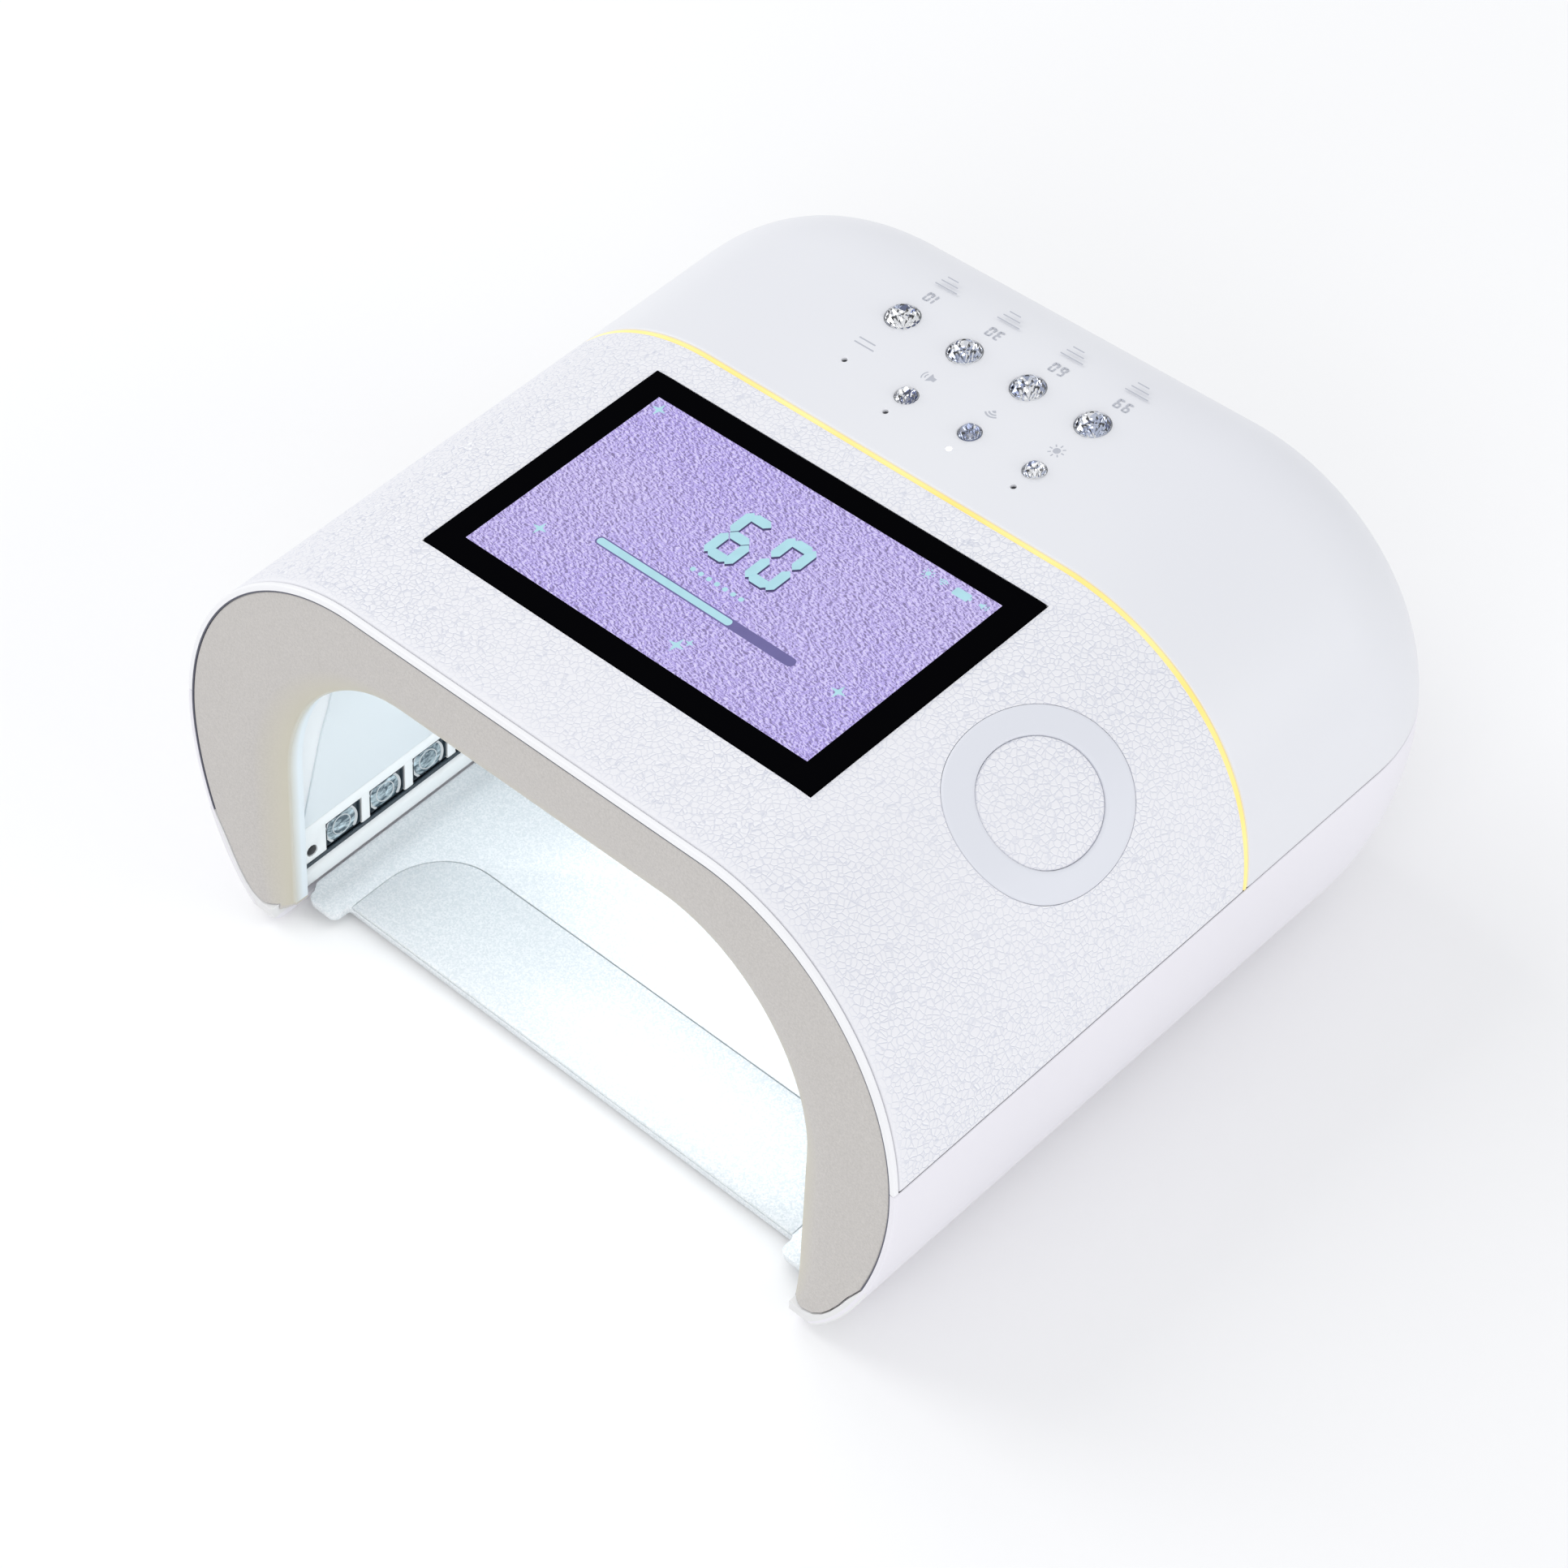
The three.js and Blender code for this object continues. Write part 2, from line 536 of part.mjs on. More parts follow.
// ---- assembly -----------------------------------------------------------------------------------
const LOOKS = {
  leather: [0xf2f2f4, 0.75], satinWhite: [0xebebef, 0.45], tubWhite: [0xe8e7ee, 0.45],
  trimWhite: [0xf4f4f6, 0.4],
  warmGrey: [0xcfcbc7, 0.7], reflector: [0xe3f0f2, 0.4], glow: [0xffd95c, 0.4], black: [0x0a0a0e, 0.1],
  slate: [0x3a444b, 0.3], board: [0x1f6b3f, 0.6], metal: [0xc9ccce, 0.4], tray: [0xdfe6e8, 0.4],
  gem: [0xcdd6ea, 0.05], rubber: [0x2a2a2c, 0.9], blue: [0x3e5c8a, 0.5], aluminium: [0xc4c8cb, 0.35],
};

function mesh(name, manifold, look) {
  const { numProp, vertProperties, triVerts } = manifold.asOriginal().simplify(0.004).getMesh();
  if (numProp !== 3) throw new Error(`${name}: unexpected vertex layout`);
  const g = new THREE.BufferGeometry();
  g.setAttribute('position', new THREE.BufferAttribute(new Float32Array(vertProperties), 3));
  g.setIndex(new THREE.BufferAttribute(new Uint32Array(triVerts), 1));
  g.computeVertexNormals();
  const [color, roughness] = LOOKS[look];
  const metalness = look === 'metal' || look === 'aluminium' ? 0.9 : 0;
  const m = new THREE.Mesh(g, new THREE.MeshStandardMaterial({ color, roughness, metalness }));
  m.name = name;
  return m;
}

const lamp = new THREE.Group();
lamp.name = 'uv_curing_lamp';
const put = (name, manifold, look) => lamp.add(mesh(name, manifold, look));

put('front_cover', makeFrontCover(), 'leather');
put('front_trim', makeFrontTrim(), 'trimWhite');
put('light_strip', makeLightStrip(), 'glow');
put('rear_cover', makeRearCover(), 'satinWhite');
put('lower_shell', makeLowerShell(), 'tubWhite');
put('front_bezel', makeFrontBezel(), 'warmGrey');
put('roundel', makeRoundel(), 'trimWhite');
put('inner_liner', makeInnerLiner(), 'reflector');
for (const [word, side] of [['left', -1], ['right', 1]]) {
  put(`led_bar_${word}`, makeLedBar(side), 'reflector');
  put(`led_board_${word}`, makeLedBoard(side), 'aluminium');
  put(`ir_sensor_${word}`, makeIrSensor(side), 'black');
  put(`side_rail_${word}`, makeSideRail(side), 'trimWhite');
  ledYs.forEach((y, i) => put(`led_module_${word}_${i + 1}`, makeLedModule(side, y), 'slate'));
}
put('ceiling_lens_plate', makeCeilingLens(), 'reflector');
put('ceiling_led_board', makeCeilingBoard(), 'aluminium');
put('base_tray', makeBaseTray(), 'tray');
put('tray_inlay', makeTrayInlay(), 'tray');
put('display_glass', makeDisplayGlass(), 'black');
put('display_panel', makeDisplayPanel(), 'metal');
put('display_bracket', makeDisplayBracket(), 'metal');
put('button_board', makeButtonBoard(), 'board');
put('main_board', makeMainBoard(), 'board');
put('battery_pack', makeBatteryPack(), 'blue');
put('speaker', makeSpeaker(), 'slate');
for (const [size, gem] of [['large', LARGE_GEM], ['small', SMALL_GEM]]) {
  gem.xs.forEach((x, i) => put(`gem_button_${size}_${i + 1}`, makeGemButton(gem, x, gem.y), 'gem'));
}
DOTS.forEach((dot, i) => put(`indicator_${i + 1}`, makeIndicator(dot), 'slate'));
[[-92.3, -75], [92.3, -75], [-70, 52], [70, 52]].forEach(([x, y], i) => {
  put(`foot_${i + 1}`, makeFoot(x, y, i < 2 ? 1.4 : 6, i < 2 ? 16 : 9), 'rubber');
});
put('dc_inlet', makeDcInlet(), 'rubber');
put('switch_body', makeSwitchBody(), 'rubber');
put('power_rocker', makePowerRocker(), 'rubber');

export default lamp;
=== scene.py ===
"""Looks of the UV nail curing lamp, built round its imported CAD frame.

The frame is +X right, -Y out of the hand opening, +Z up. Outlines below are worked out in millimetres, as the
part's own source is, and every mesh is made in metres.
"""

import math

import bmesh
import bpy
import numpy as np
from mathutils import Matrix, Vector


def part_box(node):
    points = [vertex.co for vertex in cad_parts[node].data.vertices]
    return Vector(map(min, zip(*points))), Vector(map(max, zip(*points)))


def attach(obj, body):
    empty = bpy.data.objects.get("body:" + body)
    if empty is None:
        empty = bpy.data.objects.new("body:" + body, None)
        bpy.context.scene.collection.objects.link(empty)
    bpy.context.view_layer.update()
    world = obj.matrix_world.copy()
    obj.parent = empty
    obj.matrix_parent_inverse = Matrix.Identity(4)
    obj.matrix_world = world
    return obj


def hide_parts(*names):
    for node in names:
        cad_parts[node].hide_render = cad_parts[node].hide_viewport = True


MM = 0.001

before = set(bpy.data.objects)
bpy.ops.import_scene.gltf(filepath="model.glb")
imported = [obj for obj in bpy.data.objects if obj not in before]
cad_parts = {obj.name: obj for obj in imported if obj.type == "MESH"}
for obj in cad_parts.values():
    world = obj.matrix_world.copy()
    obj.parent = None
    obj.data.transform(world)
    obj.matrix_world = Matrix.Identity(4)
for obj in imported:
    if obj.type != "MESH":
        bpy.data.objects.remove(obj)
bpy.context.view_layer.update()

# ---- driving dimensions, in millimetres ------------------------------------------------------------
GAP = 0.3
WALL = 3.0
HALF_W, TOP, WAIST_Z = 119.4, 115.0, 53.6
FLAT_HALF, BASE_HALF, FLANK_POWER = 57.0, 87.9, 1.78
UNDER_Z, SOLE_TOP, SEAM_Z = 1.5, 3.4, 59.0
LEAN, LEAN_Z = 0.18, 60.0
FRONT, TRIM, RIM, TOE_R = -96.9, 1.5, 1.4, 5.0
STRIP, STRIP_W, STRIP_BOW = 18.6, 0.8, 1.5
BACK, BACK_LENGTH, BACK_DRAW, ROUND_Z = 101.86, 36.0, 29.0, 55.0
MOUTH = (88.0, 91.0, 45.0)  # half width, top and corner radius of the hand opening
CAVITY = (90.5, 93.5, 46.0)
CAVITY_BACK, LINER_T = 50.0, 1.5
BEZEL_DEPTH, ROLL_DEPTH, ROLL_WIDTH, ROLL_POWER = 9.5, 5.0, 16.0, 3.2
GLASS_Y, GLASS_W, GLASS_D = -20.9, 125.5, 75.8
LIT_W, LIT_D = 110.7, 62.6
STONE = 0.9  # the stone's radius as a share of its button's
LARGE_GEM = {"r": 4.8, "top": 117.0, "y": 68.5, "xs": (-30.6, -10.2, 10.2, 30.6)}
SMALL_GEM = {"r": 3.1, "top": 116.6, "y": 48.3, "xs": (-10.2, 10.2, 30.6)}
DOTS = ((-30.6, 48.3), (-10.2, 41.1), (10.2, 41.1), (30.6, 41.1))
LIT_DOT = 3  # the indicator that is lit
ROUNDEL_R, ROUNDEL_RIM, ROUNDEL_Y, ROUNDEL_ANGLE = 23.5, 15.7, -19.8, math.radians(53.5)
TRAY_HALF, TRAY_LIP_Y, TRAY_TAB_Y, TRAY_TAB_X = 90.2, -91.9, -97.4, 78.0
TRAY_BACK, TRAY_UNDER, TRAY_TAB_UNDER, TRAY_TOP = 39.0, 1.2, 2.6, 4.7
INLAY_HALF, INLAY_BACK, INLAY_R = 77.0, -62.4, 18.0

TOE_X, TOE_TOP = 90.6, 25.5  # half width at which the tub's toes begin, and the height at which they end
TOE_EDGE = (  # x and z up the toe's upper edge, from the hand opening outwards
    (94.3, 6.2), (97.9, 7.3), (100.6, 9.3), (102.9, 11.9), (105.5, 15.7), (107.9, 19.7), (112.0, TOE_TOP),
)

MIDDLE = 3.0  # the outline parameter at the middle of the flat top
FAR = 150.0  # further out than any part of the lamp


# ---- mesh helpers ----------------------------------------------------------------------------------
def lean_at(z):
    return LEAN * (z - LEAN_Z)


def leaned(x, y, z):
    """Points of the lamp, which lean back with their height."""
    return np.stack([x, y + lean_at(z), z], axis=-1)


def leaned_loops(section, ys):
    """A section in x and z at each of some depths, leaned back."""
    return [[(x, y + lean_at(z), z) for x, z in section] for y in ys]


def link(name, data, *looks):
    data.name = name
    piece = bpy.data.objects.new(name, data)
    bpy.context.scene.collection.objects.link(piece)
    for look in looks:
        data.materials.append(LOOK[look])
    return piece


def mesh_of(bm):
    mesh = bpy.data.meshes.new("mesh")
    bm.to_mesh(mesh)
    bm.free()
    return mesh


def mesh_from(points_mm, faces):
    """A mesh whose faces all look outwards."""
    mesh = bpy.data.meshes.new("mesh")
    mesh.from_pydata([tuple(p) for p in np.asarray(points_mm) * MM], [], faces)
    bm = bmesh.new()
    bm.from_mesh(mesh)
    bmesh.ops.recalc_face_normals(bm, faces=bm.faces)
    bm.to_mesh(mesh)
    bm.free()
    return mesh


def apply_modifiers(piece):
    depsgraph = bpy.context.evaluated_depsgraph_get()
    mesh = bpy.data.meshes.new_from_object(piece.evaluated_get(depsgraph))
    piece.modifiers.clear()
    piece.data = mesh
    return piece


def smooth(piece, angle):
    """Smooth shading that keeps edges sharper than the angle."""
    piece.data.shade_smooth()
    piece.data.set_sharp_from_angle(angle=math.radians(angle))


def bevelled(piece, width_mm, segments=2, by_weight=False, angle=30):
    modifier = piece.modifiers.new("bevel", "BEVEL")
    modifier.width = width_mm * MM
    modifier.segments = segments
    modifier.limit_method = "WEIGHT" if by_weight else "ANGLE"
    modifier.angle_limit = math.radians(angle)
    return apply_modifiers(piece)


def carve(piece, *meshes, operation="DIFFERENCE"):
    """Cuts the meshes from the piece, or combines them with it by another operation."""
    cutters = [link("cutter", mesh) for mesh in meshes]
    for cutter in cutters:
        modifier = piece.modifiers.new("cut", "BOOLEAN")
        modifier.operation = operation
        modifier.solver = "MANIFOLD"
        modifier.object = cutter
    apply_modifiers(piece)
    for cutter in cutters:
        bpy.data.objects.remove(cutter)
    return piece


def common(mesh, other):
    """What two meshes have in common, as a mesh."""
    piece = carve(link("cutter", mesh), other, operation="INTERSECT")
    result = piece.data
    bpy.data.objects.remove(piece)
    return result


def finish_piece(piece, slot, *nodes, body="housing", angle=None):
    """Gives a piece its body and hides the CAD nodes that it stands for. slot is not used. angle is for
    smooth shading.
    """
    if angle:
        smooth(piece, angle)
    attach(piece, body)
    if nodes:
        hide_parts(*nodes)


def box(x0, x1, y0, y1, z0, z1):
    points = [(x, y, z) for x in (x0, x1) for y in (y0, y1) for z in (z0, z1)]
    faces = [(0, 1, 3, 2), (4, 6, 7, 5), (0, 4, 5, 1), (2, 3, 7, 6), (0, 2, 6, 4), (1, 5, 7, 3)]
    return mesh_from(points, faces)


def loop_solid(loops, closed_section=False):
    """A solid through a row of closed loops with equal point counts. A closed section joins last to first."""
    loops = [np.asarray(loop) for loop in loops]
    n, m = len(loops), len(loops[0])
    faces = []
    for i in range(n if closed_section else n - 1):
        a, b = i * m, ((i + 1) % n) * m
        faces += [(a + j, a + (j + 1) % m, b + (j + 1) % m, b + j) for j in range(m)]
    if not closed_section:
        faces += [tuple(range(m))[::-1], tuple(range((n - 1) * m, n * m))]
    return mesh_from(np.concatenate(loops), faces)


def turned(profile, segments=48):
    """A solid of revolution about Z from (radius, z) points whose ends lie on the axis."""
    angles = np.linspace(0, 2 * math.pi, segments, endpoint=False)
    points, rings = [], []
    for radius, z in profile:
        if radius == 0:
            rings.append([len(points)])
            points.append((0, 0, z))
        else:
            rings.append(list(range(len(points), len(points) + segments)))
            points += [(radius * math.cos(a), radius * math.sin(a), z) for a in angles]
    faces = []
    for low, high in zip(rings, rings[1:]):
        for j in range(segments):
            k = (j + 1) % segments
            if len(low) == 1:
                faces.append((low[0], high[k], high[j]))
            elif len(high) == 1:
                faces.append((low[j], low[k], high[0]))
            else:
                faces.append((low[j], low[k], high[k], high[j]))
    return mesh_from(points, faces)


def moved(mesh, x, y):
    mesh.transform(Matrix.Translation(Vector((x, y, 0)) * MM))
    return mesh


def plate(outline, z0, z1):
    return loop_solid([[(x, y, z) for x, y in outline] for z in (z0, z1)])


def sheet(outer, inner, cap=False):
    """A closed shell between two grids of points, whose outer rim has a bevel weight of 1.

    cap closes the last row with a flat wall instead of a rim.
    """
    rows, columns = outer.shape[:2]
    count = rows * columns
    points = np.concatenate([outer.reshape(-1, 3), inner.reshape(-1, 3)])

    def at(i, j):
        return i * columns + j

    faces = []
    for i in range(rows - 1):
        for j in range(columns - 1):
            quad = (at(i, j), at(i, j + 1), at(i + 1, j + 1), at(i + 1, j))
            faces += [quad, tuple(count + k for k in reversed(quad))]
    border = [at(0, j) for j in range(columns)] + [at(i, columns - 1) for i in range(1, rows)]
    if not cap:
        border += [at(rows - 1, j) for j in range(columns - 2, -1, -1)]
    border += [at(i, 0) for i in range(rows - (1 if cap else 2), 0, -1)]
    if cap:
        wall = [at(rows - 1, j) for j in range(columns)]
        faces += [tuple(wall), tuple(count + k for k in reversed(wall))]
    for k, a in enumerate(border):
        b = border[(k + 1) % len(border)]
        faces.append((a, b, count + b, count + a))
    mesh = mesh_from(points, faces)
    weights = mesh.attributes.new("bevel_weight_edge", "FLOAT", "EDGE")
    ring = {frozenset((border[k], border[(k + 1) % len(border)])) for k in range(len(border))}
    for edge in mesh.edges:
        if frozenset(edge.vertices) in ring:
            weights.data[edge.index].value = 1.0
    return mesh


# ---- the arch and the body -------------------------------------------------------------------------
def folded(q):
    """The side that each q is on, q as counted from that side's base, its rise and its shoulder angle."""
    q = np.asarray(q, float)
    side = np.where(q > MIDDLE, -1.0, 1.0)
    q = np.where(q > MIDDLE, 2 * MIDDLE - q, q)
    return side, q, np.clip(q, 0, 1) ** 2, np.clip(q - 1, 0, 1) * math.pi / 2


def arch(q, inset=0.0):
    """x and z on the arch.

    q is 0 at the right base, 1 at the waist, 2 where the top turns flat, 3 in the middle, 6 at the left base.
    """
    side, q, low, angle = folded(q)
    bulge = (1 - np.clip(1 - low, 0, 1) ** FLANK_POWER) ** (1 / FLANK_POWER)
    x = np.where(
        q < 1,
        BASE_HALF - inset + (HALF_W - BASE_HALF) * bulge,
        FLAT_HALF + (HALF_W - FLAT_HALF - inset) * np.cos(angle),
    )
    x = np.where(q > 2, FLAT_HALF * (MIDDLE - q), x)
    z = np.where(q < 1, WAIST_Z * low, WAIST_Z + (TOP - WAIST_Z - inset) * np.sin(angle))
    return side * x, z


def tunnel(q, size, grow=0.0, low_z=0.0):
    """x and z on an arch with straight legs and round corners, with the same parameter as arch."""
    half, top, r = size
    side, q, low, angle = folded(q)
    x = half - r + (r + grow) * np.cos(angle)
    z = top - r + (r + grow) * np.sin(angle)
    x = np.where(q > 2, (half - r) * (MIDDLE - q), x)
    z = np.where(q < 1, low_z + (top - r - low_z) * low, z)
    return side * x, z


COLUMNS = 260
ABOVE, BELOW = SEAM_Z + GAP / 2, SEAM_Z - GAP / 2
DENSE_Q = np.linspace(0, 2 * MIDDLE, 3001)
DENSE_LENGTH = np.concatenate([[0], np.cumsum(np.hypot(*np.diff(arch(DENSE_Q))))])


def spread(q0, count):
    """count + 1 values of q at even distances along the arch, from q0 to its mirror image."""
    ends = np.interp([q0, 2 * MIDDLE - q0], DENSE_Q, DENSE_LENGTH)
    return np.interp(np.linspace(*ends, count + 1), DENSE_LENGTH, DENSE_Q)


def q_at(z, draw=0.0, inset=0.0):
    """The shoulder's q at a height, on a section drawn in by draw."""
    section_z = ROUND_Z + (z - ROUND_Z) / (1 - draw / (TOP - ROUND_Z))
    return 1 + math.asin((section_z - WAIST_Z) / (TOP - WAIST_Z - inset)) * 2 / math.pi


def on_body(x, z, y, draw):
    """Draws a section's points in and leans them."""
    x = x * (1 - draw / HALF_W)
    z = ROUND_Z + (z - ROUND_Z) * (1 - draw / (TOP - ROUND_Z))
    return leaned(x, y, z)


def strip_bow(z):
    """How far the strip's plane bows back at a height."""
    base = SEAM_Z + GAP / 2
    return STRIP_BOW * np.sin(math.pi * np.clip((z - base) / (TOP - base), 0, 1))


def back_stations(count, inset):
    """y and draw at even angles round the turn into the back wall."""
    angles = [math.pi / 2 * i / count for i in range(1, count + 1)]
    length, draw = BACK_LENGTH - inset, BACK_DRAW - inset
    return [(BACK - inset - length * (1 - math.sin(a)), draw * (1 - math.cos(a))) for a in angles]


def above_seam(inset, draw=0.0):
    """x and z on the arch from the seam over to the seam."""
    return arch(spread(q_at(ABOVE, draw, inset), COLUMNS), inset)


def front_rows(y0, y1, count, inset):
    """Rows across the arch between two depths; the last row follows the strip's bow."""
    x, z = above_seam(inset)
    rows = [on_body(x, z, y0 + (y1 + strip_bow(z) - y0) * t, 0.0) for t in np.linspace(0, 1, count + 1)]
    return np.array(rows)


def plain_rows(ys, inset):
    """Rows across the arch, each at one depth."""
    x, z = above_seam(inset)
    return np.array([on_body(x, z, np.full(len(x), y), 0.0) for y in ys])


# ---- materials -------------------------------------------------------------------------------------
class Shader:
    """Builds a node material. Its first node is a Principled shader with the given constant inputs."""

    def __init__(self, name, **inputs):
        self.material = bpy.data.materials.new(name)
        self.material.use_nodes = True
        self.tree = self.material.node_tree
        self.surface = self.tree.nodes["Principled BSDF"]
        for key, value in inputs.items():
            self.surface.inputs[key.replace("_", " ")].default_value = value
        self.coords = self.node("ShaderNodeTexCoord").outputs["Object"]

    def node(self, kind, inputs=None, **settings):
        node = self.tree.nodes.new(kind)
        for key, value in settings.items():
            setattr(node, key, value)
        for key, value in (inputs or {}).items():
            socket = node.inputs[key]
            if isinstance(value, bpy.types.NodeSocket):
                self.tree.links.new(value, socket)
            else:
                socket.default_value = value
        return node

    def to(self, socket_name, output):
        self.tree.links.new(output, self.surface.inputs[socket_name])

    def noise(self, scale, detail=2.0, rough=0.5, coords=None):
        inputs = {"Vector": coords or self.coords, "Scale": scale, "Detail": detail, "Roughness": rough}
        return self.node("ShaderNodeTexNoise", inputs).outputs["Fac"]

    def math(self, operation, a, b=0.0):
        return self.node("ShaderNodeMath", {0: a, 1: b}, operation=operation).outputs[0]

    def vector(self, operation, a, b):
        """Vector arithmetic, where b is a factor if the operation is SCALE."""
        inputs = {0: a, "Scale" if operation == "SCALE" else 1: b}
        return self.node("ShaderNodeVectorMath", inputs, operation=operation).outputs[0]

    def stretched(self, scale):
        return self.node("ShaderNodeMapping", {"Vector": self.coords, "Scale": scale}).outputs[0]

    def ramp(self, value, low, high, to_low=0.0, to_high=1.0):
        inputs = {"Value": value, "From Min": low, "From Max": high, "To Min": to_low, "To Max": to_high}
        return self.node("ShaderNodeMapRange", inputs, clamp=True).outputs[0]

    def warped(self, coords, scale, amount):
        """Coordinates pushed about by a noise, by up to half the amount in metres."""
        noise = self.node("ShaderNodeTexNoise", {"Vector": coords, "Scale": scale, "Detail": 2.0})
        push = self.vector("SCALE", self.vector("SUBTRACT", noise.outputs["Color"], (0.5, 0.5, 0.5)), amount)
        return self.vector("ADD", coords, push)

    def mix(self, factor, a, b):
        """A colour between a and b. 0, 6 and 7 are the node's colour inputs and 2 is its colour output."""
        return self.node("ShaderNodeMix", {0: factor, 6: a, 7: b}, data_type="RGBA").outputs[2]

    def bump(self, height, strength, distance_mm):
        inputs = {"Height": height, "Strength": strength, "Distance": distance_mm * MM}
        return self.node("ShaderNodeBump", inputs).outputs["Normal"]


def srgb(code):
    """A linear colour from an sRGB hex code."""
    values = [int(code[i : i + 2], 16) / 255 for i in (0, 2, 4)]
    return (*[v / 12.92 if v <= 0.04045 else ((v + 0.055) / 1.055) ** 2.4 for v in values], 1.0)


def scaled(colour, factor):
    return (*[min(1.0, c * factor) for c in colour[:3]], 1.0)


def leather(name, fade_front=True):
    """White leather with an irregular pebble grain that stretches smooth at the front edge; its colour holds
    painted shade in the grooves and a painted highlight and painted shade on the pebbles' sides.
    """
    s = Shader(name, Specular_IOR_Level=0.4)
    xyz = s.node("ShaderNodeSeparateXYZ", {"Vector": s.coords}).outputs
    region = s.ramp(s.noise(22.0, 2.0), 0.3, 0.7, 0.6, 1.0)
    if fade_front:
        lean_back = s.math("MULTIPLY", s.math("SUBTRACT", xyz["Z"], LEAN_Z * MM), LEAN)
        depth = s.math("SUBTRACT", xyz["Y"], lean_back)
        region = s.math("MULTIPLY", region, s.ramp(depth, (FRONT + 1.5) * MM, (FRONT + 5) * MM, 0.08, 1.0))
    relief = []
    for shift in (0.0, 0.0001):
        place = s.vector("ADD", s.coords, (shift, -shift, -shift))
        cells = {"Vector": s.warped(place, 420.0, 0.0009), "Scale": 660.0}
        edge = s.node("ShaderNodeTexVoronoi", cells, feature="DISTANCE_TO_EDGE").outputs["Distance"]
        relief.append(s.math("POWER", s.ramp(edge, 0.0, 0.14), 0.7))
    # The grooves between the pebbles are darkened: painted shade.
    groove_shade = s.math("MULTIPLY", s.math("SUBTRACT", 1.0, relief[0]), region)
    # slope compares the relief with a copy shifted to one side; below, it paints a highlight on the pebbles'
    # sides towards the light and shade on the far sides.
    slope = s.math("MULTIPLY", s.math("SUBTRACT", relief[0], relief[1]), region)
    plain = s.mix(groove_shade, srgb("EBEBEF"), srgb("D6D8E2"))
    lit = s.mix(s.ramp(slope, 0.1, 0.7), plain, srgb("F8F8FA"))
    s.to("Base Color", s.mix(s.ramp(slope, -0.1, -0.8), lit, srgb("C6C9D6")))
    s.to("Roughness", s.ramp(relief[0], 0.0, 1.0, 0.6, 0.42))
    s.to("Normal", s.bump(s.math("MULTIPLY", relief[0], region), 0.6, 0.1))
    return s.material


def moulded(name, code, roughness=0.4, grain=0.06, scale=2400.0, tint=None):
    """Moulded plastic: a very fine texture and a faint change of shade."""
    s = Shader(name)
    drift = s.noise(14.0, 1.0)
    fine = s.noise(scale, 2.0)
    other = srgb(tint) if tint else scaled(srgb(code), 0.965)
    s.to("Base Color", s.mix(s.ramp(drift, 0.3, 0.7), srgb(code), other))
    s.to("Roughness", s.ramp(fine, 0.3, 0.7, roughness * 0.9, roughness * 1.12))
    s.to("Normal", s.bump(fine, grain, 0.05))
    return s.material


def bezel_paint(name):
    """Warm grey with a fine speckle, with a painted warm yellowish glow from the cavity's light down the roll
    and painted bluish light on the shaded inner wall.
    """
    s = Shader(name, Specular_IOR_Level=0.35)
    speck = s.noise(1900.0, 3.0, 0.7)
    roll = s.node("ShaderNodeAttribute", attribute_name="roll").outputs["Fac"]
    grey = s.mix(s.ramp(speck, 0.34, 0.68), srgb("BDB9B5"), srgb("CDC9C5"))
    # A painted glow: the roll turns warmer and yellower towards the opening, as if lit from the cavity.
    painted_glow = s.mix(s.ramp(roll, 0.5, 1.0), grey, srgb("C9C4B4"))
    # The inner wall is painted bluish white, for the bluish light in its shade.
    s.to("Base Color", s.mix(s.ramp(roll, 1.0, 1.35), painted_glow, srgb("E3ECF1")))
    s.to("Roughness", s.ramp(speck, 0.3, 0.7, 0.5, 0.66))
    s.to("Normal", s.bump(speck, 0.12, 0.05))
    return s.material


def light_guide(name):
    """A lit yellow light guide, uneven along its length."""
    s = Shader(name, Roughness=0.35, Emission_Strength=0.92)
    colour = s.mix(s.ramp(s.noise(60.0, 1.0), 0.3, 0.7), srgb("FFF0A4"), srgb("FFE588"))
    s.to("Base Color", s.mix(s.noise(90.0), srgb("7A5A20"), srgb("8A6A2C")))
    s.to("Emission Color", colour)
    return s.material


def pearl(name):
    """Pale satin metallic with a fine sparkle."""
    s = Shader(name, Metallic=0.25, Coat_Weight=0.15, Coat_Roughness=0.3)
    flake = s.node("ShaderNodeTexVoronoi", {"Vector": s.coords, "Scale": 2600.0}).outputs["Color"]
    sparkle = s.ramp(s.node("ShaderNodeSeparateColor", {"Color": flake}).outputs[0], 0.2, 0.9)
    s.to("Base Color", s.mix(sparkle, srgb("DFE5E8"), srgb("F3F6F8")))
    s.to("Roughness", s.ramp(sparkle, 0.0, 1.0, 0.52, 0.3))
    s.to("Normal", s.bump(sparkle, 0.05, 0.03))
    return s.material


